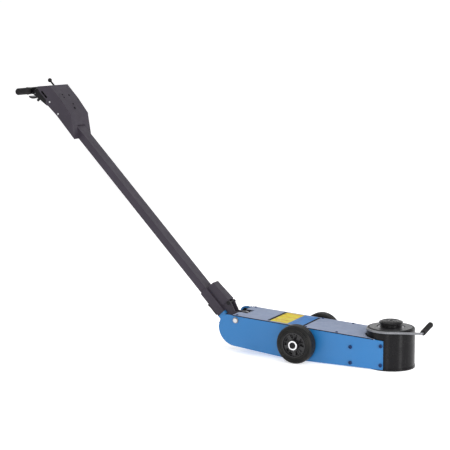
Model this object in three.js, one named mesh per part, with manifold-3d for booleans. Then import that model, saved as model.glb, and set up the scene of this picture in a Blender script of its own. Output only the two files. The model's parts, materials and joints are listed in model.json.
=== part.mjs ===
// Air-hydraulic trolley jack with a long inclined handle, in millimetres.
// Origin: centre of the lifting cylinder's foot, on the floor.
// +X points forward over the front grip, +Y to the jack's left, +Z up.

import * as THREE from 'three';
import * as BufferGeometryUtils from 'three/addons/utils/BufferGeometryUtils.js';
import Module from 'manifold-3d';

const wasm = await Module();
wasm.setup();

// ----------------------------------------------------------- facets of a turn
const FACETS_LARGE = 48;
const FACETS_MEDIUM = 32;
const FACETS_SMALL = 20;
const FACETS_TINY = 12;

// ---------------------------------------------------------------- clearances
const FIT_GAP = 0.3;
const RUN_GAP = 0.4;

// ---------------------------------------------------------- lifting cylinder
const CYLINDER_RADIUS = 80;
const CYLINDER_HEIGHT = 131;
const CYLINDER_FLOOR = 14;
const CYLINDER_WALL = 8.5;
const COLLAR_CHAMFER = 3;
const FOOT_FLANGE = 1.5;
const FOOT_HEIGHT = 7;
const WIPER_WIDTH = 3.4;
const WIPER_HEIGHT = 5;
const SLEEVE_WALL = 25.5;
const SLEEVE_PROUD = 2;
const SLEEVE_FLOOR = 10;
const RAM_RECESS = 1.5;
const SADDLE_RISE = 22;
const SADDLE_RADIUS = 39.5;
const SADDLE_NECK_RADIUS = 35;
const SADDLE_DISC = 8;
const SADDLE_CHAMFER = 4;
const SADDLE_FACE_CHAMFER = 9;
const SPIGOT_RADIUS = 18;
const SPIGOT_LENGTH = 20;
const OIL_PORT_RADIUS = 3;

const FOOT_RADIUS = CYLINDER_RADIUS + FOOT_FLANGE;
const SLEEVE_RADIUS = CYLINDER_RADIUS - CYLINDER_WALL;
const RAM_RADIUS = SLEEVE_RADIUS - SLEEVE_WALL;
const LOW_HEIGHT = CYLINDER_HEIGHT + SADDLE_RISE;

// -------------------------------------------------------------- side plates
const PLATE_THICKNESS = 5;
const CYLINDER_FLAT = 5;
const PLATE_FRONT_X = 4;
const PLATE_FRONT_TOP = 99.3;
const PLATE_TOP_SLOPE = 0.0586;
const PLATE_BOTTOM_Z = 3;
const PLATE_RISE_X = -329;
const PLATE_RISE_SLOPE = 0.104;
const PLATE_TAIL_RADIUS = 66;
const PLATE_TAIL_Z = 91;
const TAIL_CORNER_REACH = 32;
const TAIL_CORNER_ROUND = 20;
const TAIL_SHOULDER_REACH = 58;
const TAIL_SHOULDER_Z = 121;
const PLATE_BOLT_RADIUS = 4;
const PLATE_BOLT_HEAD_RADIUS = 6.5;
const PLATE_BOLT_HEAD = 4;
const PUMP_BOLT_GRIP = 14;
const BOLT_SEAT_WALL = 0.5;
const FRONT_BOLT_X = -4.4;
const FRONT_BOLT_HIGH = 82;
const FRONT_BOLT_LOW = 18;
const REAR_BOLT_X = -110.6;
const REAR_BOLT_HIGH = 68.4;
const REAR_BOLT_LOW = 15.4;

const PLATE_INNER_Y = CYLINDER_RADIUS - CYLINDER_FLAT;
const PLATE_OUTER_Y = PLATE_INNER_Y + PLATE_THICKNESS;
const INSIDE_HALF = PLATE_INNER_Y - FIT_GAP;
const plateTopZ = (x) => PLATE_FRONT_TOP + PLATE_TOP_SLOPE * (PLATE_FRONT_X - x);
const plateBottomZ = (x) => PLATE_BOTTOM_Z + PLATE_RISE_SLOPE * Math.max(0, PLATE_RISE_X - x);

// ------------------------------------------------------------ handle pivot
const PIVOT_X = -534;
const PIVOT_Z = 116;
const PIN_RADIUS = 8;
const PIN_PROUD = 5;
const PIN_RING_RADIUS = 10.5;
const PIN_RING_THICKNESS = 2.4;
const HANDLE_ANGLE = THREE.MathUtils.degToRad(46.3);
const HANDLE_LOWER = THREE.MathUtils.degToRad(35);
const HANDLE_RAISE = THREE.MathUtils.degToRad(30);
const CROSS_BAR_RADIUS = 9;
const CROSS_BAR_X = PIVOT_X + 34;
const CROSS_BAR_Z = 75;
const SECTOR_THICKNESS = 10;
const SECTOR_ROOM = 2;
const SECTOR_RADIUS = 77;
const SECTOR_MARGIN = 6;
const SECTOR_HUB_RADIUS = 17;
const SECTOR_EDGE = 4;
const SECTOR_PAST_HIGH = 0.12;
const SECTOR_PAST_LOW = 0.25;
const TOOTH_HEIGHT = 9;
const TOOTH_LENGTH = 16;
const TOOTH_CREST = 0.35;
const TOOTH_ROOT = 6;

// ------------------------------------------------------------------- covers
const COVER_THICKNESS = 2;
const COVER_COLLAR_GAP = 4;
const COVER_REAR_X = PIVOT_X - 12;
const NOTCH_FRONT_X = PIVOT_X + 19;
const NOTCH_WIDTH = 56;
const BOTTOM_THICKNESS = 3;
const BOTTOM_INSET = 0.5;
const BOTTOM_FRONT_X = -140;
const BOTTOM_REAR_X = PIVOT_X - 6;

// ------------------------------------------------------------ wheels, axle
const AXLE_X = -294;
const AXLE_RADIUS = 10;
const WHEEL_RADIUS = 65;
const WHEEL_GAP = 6.7;
const TREAD_WIDTH = 43;
const TREAD_SHOULDER = 7;
const RIM_RADIUS = 42;
const RIM_RECESS = 5;
const HUB_RADIUS = 19;
const HUB_PROUD = 5.7;
const RIM_POCKETS = 5;
const SPOKE_HALF_ANGLE = 0.17;
const HUB_RING_RADIUS = 16.8;
const HUB_RING_THICKNESS = 2.2;
const AXLE_PROUD = 5.6;

const WHEEL_OUTER_Y = PLATE_OUTER_Y + WHEEL_GAP + TREAD_WIDTH;
const HUB_END_Y = WHEEL_OUTER_Y + HUB_PROUD;
const AXLE_END_Y = HUB_END_Y + AXLE_PROUD;

// ------------------------------------------------------ power unit, inside
const PUMP_GAP = 12;
const PUMP_LENGTH = 42;
const PUMP_TOP_Z = 86;
const PUMP_NOSE_WIDTH = 52;
const PUMP_NOSE_DROP = 20;
const PUMP_CLEARANCE = 5;
const PORT_DEPTH = 20;
const MOTOR_RADIUS = 36;
const MOTOR_LENGTH = 126;
const MOTOR_FLANGE = 12;
const MOTOR_STEP = 4;
const MOTOR_Z = 52;
const TANK_AXLE_GAP = 32;
const TANK_BAR_GAP = 24;
const TANK_TOP_Z = 112;
const TANK_BOTTOM_Z = 26;
const TANK_WALL = 4;
const TANK_SIDE_GAP = 5;
const FILLER_RADIUS = 9;
const PLUG_RADIUS = 13;
const PIPE_RADIUS = 4;
const PIPE_BORE = 2.5;
const PIPE_Y = 56;
const PIPE_Z = 34;

const PUMP_FRONT_X = -CYLINDER_RADIUS - PUMP_GAP;
const TANK_FRONT_X = AXLE_X - TANK_AXLE_GAP;
const TANK_REAR_X = CROSS_BAR_X + TANK_BAR_GAP;

// --------------------------------------------------------------- front grip
const ROD_RADIUS = 4;
const ROD_ANGLE = THREE.MathUtils.degToRad(21.3);
const ROD_WRAP = THREE.MathUtils.degToRad(68);
const ROD_DROP = 2;
const ROD_BEND = 7;
const ROD_STEPS = 26;
const GRIP_REACH = 43;
const GRIP_RISE = 14;
const GRIP_SPAN = 83;
const GRIP_RADIUS = 9.4;
const GRIP_LENGTH = 79;
const GRIP_DEPTH = 56;
const GRIP_CHAMFER = 3;

// ------------------------------------------------------- foot of the handle
const YOKE_SPREAD = 22;
const YOKE_THICKNESS = 6;
const YOKE_HUB_RADIUS = 12;
const YOKE_WAIST_U = 36;
const YOKE_WAIST_N = -16;
const YOKE_WEB = 30;
const COVER_BOX_THICKNESS = 2;
const COVER_BOX_LOW = 80;
const COVER_BOX_HIGH = 163;
const COVER_BOX_DEPTH = 36;
const COVER_BOX_TAPER = 6;
const YOKE_BOLT_RADIUS = 4;
const YOKE_HEAD_RADIUS = YOKE_BOLT_RADIUS + 3;
const YOKE_BOLT_U = 72;
const YOKE_BOLT_N = -12;

const STOP_ROD_RADIUS = 3;
const STOP_ROD_N = -84;
const STOP_ROD_LENGTH = 89;
const STOP_TRAVEL = 24;
const STOP_SEAT_U = 14.5;
const BARREL_RADIUS = 6.5;
const BARREL_LOW = 74;
const BARREL_LENGTH = 39;
const BARREL_FOOT = 8;
const CLIP_LENGTH = 8;
const CLIP_RADIUS = 7.6;

// -------------------------------------------------------------- handle tube
const TUBE_WIDTH = 50;
const TUBE_DEPTH = 26;
const TUBE_WALL = 2;
const TUBE_N = -56.5;
const TUBE_LOW = 90;
const TUBE_LENGTH = 958;
const SOCKET_WALL = 2.7;
const SOCKET_HIGH = 163;
const FOOT_LOW = 50;
const FOOT_LENGTH = 12;

const TUBE_HIGH = TUBE_LOW + TUBE_LENGTH;
const TUBE_FRONT_N = TUBE_N + TUBE_DEPTH / 2;
const SOCKET_LOW = FOOT_LOW + FOOT_LENGTH + FIT_GAP;
const SOCKET_FRONT_N = TUBE_FRONT_N + FIT_GAP + SOCKET_WALL;
const SOCKET_REAR_N = TUBE_N - TUBE_DEPTH / 2 - FIT_GAP - SOCKET_WALL;

// --------------------------------------------------------------- head piece
// Its places up the handle are counted from its own lower end.
const HEAD_LOW = TUBE_HIGH - 161;
const HEAD_WIDTH = 114;
const HEAD_WALL = 2;
const HEAD_LOW_N = -67.4;
const HEAD_KNEE_U = HEAD_LOW + 73.3;
const HEAD_KNEE_N = -16.2;
const HEAD_FACE_U = HEAD_LOW + 142.4;
const HEAD_FACE_N = -9.5;
const HEAD_FOLD_U = HEAD_LOW + 207;
const HEAD_FOLD_N = -8.8;
const HEAD_BEAK_U = HEAD_LOW + 241;
const HEAD_BEAK_N = -50.5;
const HEAD_REAR_U = HEAD_LOW + 110;
const HEAD_REAR_N = -63.8;
const NOTCH_ROUND = 8;
const NOTCH_MARGIN = 2;
const SLOT_LOW_U = HEAD_LOW + 185;
const SLOT_HIGH_U = HEAD_LOW + 217.5;
const SLOT_N = -50.5;
const SLOT_HALF = 3.6;
const SLOT_WALL = 4.2;
const BEAK_LIP = 4;

const BRACKET_WALL = 3;
const BRACKET_LOW_U = TUBE_HIGH + 4;
const BRACKET_LOW_N = -71;
const BRACKET_ROOF_N = -53;
const BRACKET_DIP_U = HEAD_LOW + 192;
const BRACKET_DIP_N = -77;
const BRACKET_RIM_U = HEAD_LOW + 214;
const BRACKET_RIM_N = -79.5;
const BRACKET_NECK_U = HEAD_LOW + 242;
const BRACKET_NECK_N = -88.6;
const BRACKET_TIP_U = HEAD_LOW + 265.8;
const BRACKET_TIP_N = -103;
const BRACKET_TIP_WIDTH = 76;
const BRACKET_BOSS_RADIUS = 13;
const BRACKET_CHIN_BACK = 10.4;
const BRACKET_CHIN_DROP = 7.6;
const TBAR_RADIUS = 9;
const TBAR_HALF = 100;
const TBAR_GRIP_RADIUS = 12.3;
const TBAR_GRIP_LENGTH = 63;
const TBAR_GRIP_END = 3;
const TBAR_FLANGE = 1.5;
const TBAR_FLANGE_WIDTH = 4;
const TRIGGER_PIN_U = HEAD_LOW + 232.5;
const TRIGGER_PIN_N = -79;
const TRIGGER_PIN_RADIUS = 2.5;
const TRIGGER_HUB_RADIUS = 5.5;
const TRIGGER_WIDTH = 44;
const TRIGGER_DROP = 47;
const TRIGGER_REACH = 24;
const TRIGGER_THICKNESS = 4;

const VALVE_LOW = HEAD_LOW + 106;
const VALVE_LENGTH = 50;
const VALVE_WIDTH = 60;
const VALVE_FRONT_N = -16;
const VALVE_EAR_THICKNESS = 4;
const LEVER_PIVOT_U = HEAD_LOW + 190;
const LEVER_PIVOT_N = -25.5;
const LEVER_PIN_RADIUS = 2.5;
const LEVER_HUB_RADIUS = 6;
const LEVER_HUB_WIDTH = 9.2;
const LEVER_ARM = 53.3;
const LEVER_ROD_RADIUS = 3.2;
const LEVER_SWING = THREE.MathUtils.degToRad(14);
const LEVER_SLOT_ROOM = 1.5;
const LEVER_SLOT_PAST = 22;
const KNOB_RADIUS = 7.6;
const INLET_U = HEAD_LOW + 218;
const INLET_Y = -25;
const INLET_TOP_N = -49;
const INLET_SHANK = 31;
const INLET_COLLAR = 14;
const INLET_NIPPLE = 10;
const INLET_RADIUS = 7;
const INLET_SHANK_RADIUS = INLET_RADIUS - 1.5;
const INLET_BORE = 3.5;

// ---------------------------------------------------------------- materials
const finish = (color, roughness, metalness) =>
  new THREE.MeshStandardMaterial({ color, roughness, metalness });
const FINISH = {
  bluePaint: () => finish(0x4083c4, 0.45, 0.0),
  boltPaint: () => finish(0x1f4b86, 0.5, 0.0),
  greySheet: () => finish(0x96a0b4, 0.5, 0.1),
  blackPaint: () => finish(0x2d2b30, 0.4, 0.2),
  ironGrey: () => finish(0x6e706f, 0.5, 0.6),
  handlePaint: () => finish(0x58555c, 0.5, 0.1),
  rubber: () => finish(0x1e1e20, 0.85, 0.0),
  tyre: () => finish(0x373438, 0.9, 0.0),
  rim: () => finish(0x262428, 0.5, 0.0),
  zinc: () => finish(0xb9b9bd, 0.3, 0.9),
  steel: () => finish(0x8a8a90, 0.35, 0.8),
  brass: () => finish(0xb08d4a, 0.35, 0.9),
};

// ---------------------------------------------------------- solid modelling
function toSolid(geometry) {
  const plain = geometry.clone();
  plain.deleteAttribute('normal');
  plain.deleteAttribute('uv');
  const merged = BufferGeometryUtils.mergeVertices(plain, 1e-4);
  const vertProperties = new Float32Array(merged.attributes.position.array);
  const triVerts = new Uint32Array(merged.index.array);
  return new wasm.Manifold(new wasm.Mesh({ numProp: 3, vertProperties, triVerts }));
}

function toGeometry(solid) {
  const mesh = solid.getMesh();
  const geometry = new THREE.BufferGeometry();
  geometry.setAttribute('position', new THREE.BufferAttribute(new Float32Array(mesh.vertProperties), 3));
  geometry.setIndex(new THREE.BufferAttribute(new Uint32Array(mesh.triVerts), 1));
  return geometry;
}

function cut(geometry, ...tools) {
  return toGeometry(tools.reduce((solid, tool) => solid.subtract(toSolid(tool)), toSolid(geometry)));
}

function join(geometry, ...others) {
  return toGeometry(others.reduce((solid, other) => solid.add(toSolid(other)), toSolid(geometry)));
}

function common(geometry, other) {
  return toGeometry(toSolid(geometry).intersect(toSolid(other)));
}

function block(x0, x1, y0, y1, z0, z1) {
  const geometry = new THREE.BoxGeometry(x1 - x0, y1 - y0, z1 - z0);
  return geometry.translate((x0 + x1) / 2, (y0 + y1) / 2, (z0 + z1) / 2);
}

// A cylinder whose axis runs from one point to another.
function roundBar(radius, from, to, sides = FACETS_SMALL) {
  const axis = to.clone().sub(from);
  const geometry = new THREE.CylinderGeometry(radius, radius, axis.length(), sides);
  const turn = new THREE.Quaternion().setFromUnitVectors(new THREE.Vector3(0, 1, 0), axis.normalize());
  geometry.applyQuaternion(turn);
  return geometry.translate((from.x + to.x) / 2, (from.y + to.y) / 2, (from.z + to.z) / 2);
}

const point = (x, y, z) => new THREE.Vector3(x, y, z);

function crossBar(radius, x, z, y0, y1, sides = FACETS_SMALL) {
  return roundBar(radius, point(x, y0, z), point(x, y1, z), sides);
}

// A turned piece about +Z. The profile lists [radius, height] and closes on itself.
function turned(profile, sides = FACETS_MEDIUM) {
  const points = [...profile, profile[0]].map(([r, z]) => new THREE.Vector2(r, z));
  const geometry = new THREE.LatheGeometry(points, sides);
  return geometry.rotateX(Math.PI / 2);
}

// The same, laid along +Y or -Y from the plane y = 0.
function turnedAcross(profile, side, sides = FACETS_MEDIUM) {
  return turned(profile, sides).rotateX(side > 0 ? -Math.PI / 2 : Math.PI / 2);
}

// A profile drawn in the XZ plane and extruded across Y from y0 to y1.
function acrossY(shape, y0, y1, curveSegments = 8) {
  const geometry = new THREE.ExtrudeGeometry(shape, { depth: y1 - y0, bevelEnabled: false, curveSegments });
  return geometry.rotateX(Math.PI / 2).translate(0, y1, 0);
}

// A profile drawn in the XY plane and extruded along Z.
function upZ(shape, z0, z1, curveSegments = 6) {
  const geometry = new THREE.ExtrudeGeometry(shape, { depth: z1 - z0, bevelEnabled: false, curveSegments });
  return geometry.translate(0, 0, z0);
}

function outline(points) {
  return new THREE.Shape(points.map(([x, y]) => new THREE.Vector2(x, y)));
}

// Moves an open line sideways by a distance, to the left of its direction of travel.
function offsetLine(points, distance) {
  return points.map(([x, y], i) => {
    const before = points[Math.max(i - 1, 0)];
    const after = points[Math.min(i + 1, points.length - 1)];
    const inward = new THREE.Vector2(x - before[0], y - before[1]).normalize();
    const onward = new THREE.Vector2(after[0] - x, after[1] - y).normalize();
    const first = i === 0 ? onward : inward;
    const last = i === points.length - 1 ? inward : onward;
    const middle = first.clone().add(last).normalize();
    const stretch = distance / middle.dot(last);
    return [x - middle.y * stretch, y + middle.x * stretch];
  });
}

const jack = new THREE.Group();

function addPiece(group, name, geometry, material) {
  const mesh = new THREE.Mesh(geometry, material);
  mesh.name = name;
  group.add(mesh);
  return mesh;
}

const SIDES = [['near', -1], ['far', 1]];
const SLEEVE_BORE = RAM_RADIUS + RUN_GAP;
const CYLINDER_BORE = SLEEVE_RADIUS + RUN_GAP;
const SLEEVE_TOP = CYLINDER_HEIGHT + SLEEVE_PROUD;
const RAM_TOP = SLEEVE_TOP - RAM_RECESS;

// The front bolts seat in the cylinder's wall, the rear ones in the pump block.
const FRONT_BOLT_GRIP = INSIDE_HALF - CYLINDER_BORE - BOLT_SEAT_WALL - FIT_GAP;
const BOLT_PLACES = [
  [FRONT_BOLT_X, FRONT_BOLT_HIGH, FRONT_BOLT_GRIP],
  [FRONT_BOLT_X, FRONT_BOLT_LOW, FRONT_BOLT_GRIP],
  [REAR_BOLT_X, REAR_BOLT_HIGH, PUMP_BOLT_GRIP],
  [REAR_BOLT_X, REAR_BOLT_LOW, PUMP_BOLT_GRIP],
];

// A hole bored inward from a side plate's inner face, for a bolt's shank.
function boltHole([x, z, grip], side) {
  const end = side * (INSIDE_HALF - grip - FIT_GAP);
  return crossBar(PLATE_BOLT_RADIUS + FIT_GAP, x, z, end, side * (INSIDE_HALF + 1), FACETS_TINY);
}

// ----------------------------------------------------------- front grip rod
// It wraps part of the cylinder's collar, runs on straight and turns up into the grip.
function rodPath() {
  const radius = CYLINDER_RADIUS + ROD_RADIUS + FIT_GAP;
  const height = CYLINDER_HEIGHT - ROD_DROP;
  const along = point(Math.cos(ROD_ANGLE), Math.sin(ROD_ANGLE), 0);
  const around = (angle) => point(radius * Math.cos(angle), radius * Math.sin(angle), height);
  const leave = ROD_ANGLE - Math.PI / 2;
  const foot = around(leave);
  const corner = foot.clone().addScaledVector(along, (CYLINDER_RADIUS + GRIP_REACH - foot.x) / along.x);
  const across = point(0, GRIP_SPAN, GRIP_RISE).normalize();
  const bendStart = corner.clone().addScaledVector(along, -ROD_BEND);
  const bendEnd = corner.clone().addScaledVector(across, ROD_BEND);
  const places = [];
  const wrapSteps = 8;
  for (let i = 0; i < wrapSteps; i += 1) {
    places.push(around(leave - ROD_WRAP * (1 - i / wrapSteps)));
  }
  const path = new THREE.CurvePath();
  places.forEach((place, i) => path.add(new THREE.LineCurve3(place, places[i + 1] ?? foot)));
  path.add(new THREE.LineCurve3(foot, bendStart));
  path.add(new THREE.QuadraticBezierCurve3(bendStart, corner, bendEnd));
  path.add(new THREE.LineCurve3(bendEnd, bendEnd.clone().addScaledVector(across, GRIP_DEPTH)));
  return { path, across, bendEnd };
}

function sweptRod(path, radius, steps) {
  const section = new THREE.Shape().absarc(0, 0, radius, 0, 2 * Math.PI);
  return new THREE.ExtrudeGeometry(section, { extrudePath: path, steps, curveSegments: 5 });
}

function addFrontGrip(group) {
  const { path, bendEnd, across } = rodPath();
  addPiece(group, 'front_grip_rod', sweptRod(path, ROD_RADIUS, ROD_STEPS), FINISH.zinc());
  const bore = ROD_RADIUS + 2 * FIT_GAP;
  const boreEnd = GRIP_DEPTH + 2;
  const profile = [
    [bore, 0],
    [GRIP_RADIUS - 1, 0],
    [GRIP_RADIUS, 1],
    [GRIP_RADIUS, GRIP_LENGTH - GRIP_CHAMFER],
    [GRIP_RADIUS - GRIP_CHAMFER, GRIP_LENGTH],
    [0, GRIP_LENGTH],
    [0, boreEnd],
    [bore, boreEnd],
  ];
  const geometry = turned(profile, FACETS_SMALL);
  geometry.applyQuaternion(new THREE.Quaternion().setFromUnitVectors(point(0, 0, 1), across));
  geometry.translate(bendEnd.x, bendEnd.y, bendEnd.z);
  addPiece(group, 'front_grip', geometry, FINISH.rubber());
}

// --------------------------------------------------------- lifting cylinder
function addCylinder(group) {
  const wiperRadius = CYLINDER_BORE + WIPER_WIDTH;
  const wiperSeat = CYLINDER_HEIGHT - WIPER_HEIGHT - FIT_GAP;
  const body = turned([
    [0, 0],
    [FOOT_RADIUS, 0],
    [FOOT_RADIUS, FOOT_HEIGHT],
    [CYLINDER_RADIUS, FOOT_HEIGHT + FOOT_RADIUS - CYLINDER_RADIUS],
    [CYLINDER_RADIUS, CYLINDER_HEIGHT - COLLAR_CHAMFER],
    [CYLINDER_RADIUS - COLLAR_CHAMFER, CYLINDER_HEIGHT],
    [wiperRadius + FIT_GAP, CYLINDER_HEIGHT],
    [wiperRadius + FIT_GAP, wiperSeat],
    [CYLINDER_BORE, wiperSeat],
    [CYLINDER_BORE, CYLINDER_FLOOR],
    [0, CYLINDER_FLOOR],
  ], FACETS_LARGE);
  const flatFront = PLATE_FRONT_X + FIT_GAP;
  const flatTop = plateTopZ(-CYLINDER_RADIUS * 0.45) + 1;
  const cuts = [];
  SIDES.forEach(([, side]) => {
    const inner = side * INSIDE_HALF;
    const outer = side * (FOOT_RADIUS + 4);
    cuts.push(block(-CYLINDER_RADIUS, flatFront, Math.min(inner, outer), Math.max(inner, outer),
      PLATE_BOTTOM_Z - FIT_GAP, flatTop));
    BOLT_PLACES.slice(0, 2).forEach((place) => cuts.push(boltHole(place, side)));
  });
  const portZ = CYLINDER_FLOOR + 8;
  const portStart = point(-FOOT_RADIUS - 2, 0, portZ);
  const portEnd = point(-CYLINDER_BORE + 4, 0, portZ);
  cuts.push(roundBar(OIL_PORT_RADIUS, portStart, portEnd, FACETS_TINY));
  addPiece(group, 'lift_cylinder', cut(body, ...cuts), FINISH.blackPaint());
  const wiper = turned([
    [CYLINDER_BORE, wiperSeat + FIT_GAP],
    [wiperRadius, wiperSeat + FIT_GAP],
    [wiperRadius, CYLINDER_HEIGHT - 0.6],
    [CYLINDER_BORE + 1.2, CYLINDER_HEIGHT - 0.6],
    [CYLINDER_BORE, CYLINDER_HEIGHT - 2],
  ], FACETS_LARGE);
  addPiece(group, 'wiper_ring', wiper, FINISH.rubber());
}

function addPistons(group) {
  const sleeveLow = CYLINDER_FLOOR + 2;
  const ramLow = sleeveLow + SLEEVE_FLOOR + 2;
  const spigotBore = SPIGOT_RADIUS + FIT_GAP;
  const sleeve = turned([
    [0, sleeveLow],
    [SLEEVE_RADIUS - 3, sleeveLow],
    [SLEEVE_RADIUS, sleeveLow + 3],
    [SLEEVE_RADIUS, SLEEVE_TOP - 1.5],
    [SLEEVE_RADIUS - 1.5, SLEEVE_TOP],
    [SLEEVE_BORE + 1, SLEEVE_TOP],
    [SLEEVE_BORE, SLEEVE_TOP - 1],
    [SLEEVE_BORE, sleeveLow + SLEEVE_FLOOR],
    [0, sleeveLow + SLEEVE_FLOOR],
  ], FACETS_LARGE);
  addPiece(group, 'outer_piston', sleeve, FINISH.ironGrey());
  const socketFloor = RAM_TOP - SPIGOT_LENGTH - 1;
  const ram = turned([
    [0, ramLow],
    [RAM_RADIUS - 2, ramLow],
    [RAM_RADIUS, ramLow + 2],
    [RAM_RADIUS, RAM_TOP - 2],
    [RAM_RADIUS - 2, RAM_TOP],
    [spigotBore, RAM_TOP],
    [spigotBore, socketFloor],
    [0, socketFloor],
  ], FACETS_MEDIUM);
  addPiece(group, 'inner_ram', ram, FINISH.steel());
  const neckLow = RAM_TOP + FIT_GAP;
  const discLow = LOW_HEIGHT - SADDLE_DISC;
  const saddle = turned([
    [0, RAM_TOP - SPIGOT_LENGTH],
    [SPIGOT_RADIUS, RAM_TOP - SPIGOT_LENGTH],
    [SPIGOT_RADIUS, neckLow],
    [SADDLE_NECK_RADIUS + 3, neckLow],
    [SADDLE_NECK_RADIUS, neckLow + 3],
    [SADDLE_NECK_RADIUS, discLow - 1],
    [SADDLE_RADIUS, discLow],
    [SADDLE_RADIUS, LOW_HEIGHT - SADDLE_CHAMFER],
    [SADDLE_RADIUS - SADDLE_FACE_CHAMFER, LOW_HEIGHT],
    [0, LOW_HEIGHT],
  ], FACETS_MEDIUM);
  addPiece(group, 'saddle', saddle, FINISH.blackPaint());
}

// ------------------------------------------------------------- side plates
function plateShape() {
  const tailAngle = Math.atan(PLATE_RISE_SLOPE);
  const cornerX = PIVOT_X - TAIL_CORNER_REACH;
  const roundX = cornerX - TAIL_CORNER_ROUND;
  const shape = new THREE.Shape();
  shape.moveTo(PLATE_FRONT_X, PLATE_BOTTOM_Z);
  shape.lineTo(PLATE_FRONT_X, PLATE_FRONT_TOP);
  shape.lineTo(cornerX, plateTopZ(cornerX));
  shape.quadraticCurveTo(roundX, plateTopZ(roundX), PIVOT_X - TAIL_SHOULDER_REACH, TAIL_SHOULDER_Z);
  shape.lineTo(PIVOT_X - PLATE_TAIL_RADIUS, PLATE_TAIL_Z);
  shape.absarc(PIVOT_X, PLATE_TAIL_Z, PLATE_TAIL_RADIUS, Math.PI, 1.5 * Math.PI - tailAngle, false);
  shape.lineTo(PLATE_RISE_X, PLATE_BOTTOM_Z);
  return shape;
}

function addSidePlates(group) {
  SIDES.forEach(([label, side]) => {
    const inner = side * PLATE_INNER_Y;
    const outer = side * PLATE_OUTER_Y;
    const low = Math.min(inner, outer);
    const high = Math.max(inner, outer);
    const hole = (radius, x, z, facets) => crossBar(radius + FIT_GAP, x, z, low - 1, high + 1, facets);
    const holes = BOLT_PLACES.map(([x, z]) => hole(PLATE_BOLT_RADIUS, x, z, FACETS_TINY));
    holes.push(hole(AXLE_RADIUS, AXLE_X, WHEEL_RADIUS, FACETS_SMALL));
    holes.push(hole(PIN_RADIUS, PIVOT_X, PIVOT_Z, FACETS_SMALL));
    const plate = cut(acrossY(plateShape(), low, high, 10), ...holes);
    addPiece(group, `side_plate_${label}`, plate, FINISH.bluePaint());
    BOLT_PLACES.forEach(([x, z, grip], i) => {
      const face = PLATE_OUTER_Y + FIT_GAP;
      const bolt = turnedAcross([
        [0, INSIDE_HALF - grip],
        [PLATE_BOLT_RADIUS, INSIDE_HALF - grip],
        [PLATE_BOLT_RADIUS, face],
        [PLATE_BOLT_HEAD_RADIUS, face],
        [PLATE_BOLT_HEAD_RADIUS, face + PLATE_BOLT_HEAD * 0.6],
        [PLATE_BOLT_HEAD_RADIUS * 0.6, face + PLATE_BOLT_HEAD],
        [0, face + PLATE_BOLT_HEAD],
      ], side, FACETS_TINY).translate(x, 0, z);
      addPiece(group, `plate_bolt_${label}_${i + 1}`, bolt, FINISH.boltPaint());
    });
  });
}

// ------------------------------------------------------------------ covers
function addCovers(group) {
  const front = -Math.sqrt((CYLINDER_RADIUS + COVER_COLLAR_GAP) ** 2 - PLATE_OUTER_Y ** 2);
  const top = (x) => plateTopZ(x) + FIT_GAP + COVER_THICKNESS;
  const sheet = acrossY(outline([
    [front, top(front)],
    [COVER_REAR_X, top(COVER_REAR_X)],
    [COVER_REAR_X, top(COVER_REAR_X) - COVER_THICKNESS],
    [front, top(front) - COVER_THICKNESS],
  ]), -PLATE_OUTER_Y, PLATE_OUTER_Y);
  const collar = turned([
    [0, 0],
    [CYLINDER_RADIUS + COVER_COLLAR_GAP, 0],
    [CYLINDER_RADIUS + COVER_COLLAR_GAP, 2 * CYLINDER_HEIGHT],
    [0, 2 * CYLINDER_HEIGHT],
  ], FACETS_LARGE);
  const notchHalf = NOTCH_WIDTH / 2;
  const notch = block(COVER_REAR_X - 5, NOTCH_FRONT_X, -notchHalf, notchHalf, 0, 2 * CYLINDER_HEIGHT);
  addPiece(group, 'top_cover', cut(sheet, collar, notch), FINISH.greySheet());
  const rise = BOTTOM_THICKNESS;
  const floor = (x) => plateBottomZ(x) + BOTTOM_INSET;
  const bottom = acrossY(outline([
    [BOTTOM_FRONT_X, floor(BOTTOM_FRONT_X)],
    [BOTTOM_FRONT_X, floor(BOTTOM_FRONT_X) + rise],
    [PLATE_RISE_X, floor(PLATE_RISE_X) + rise],
    [BOTTOM_REAR_X, floor(BOTTOM_REAR_X) + rise],
    [BOTTOM_REAR_X, floor(BOTTOM_REAR_X)],
    [PLATE_RISE_X, floor(PLATE_RISE_X)],
  ]), -INSIDE_HALF, INSIDE_HALF);
  addPiece(group, 'bottom_plate', bottom, FINISH.bluePaint());
}

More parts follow.
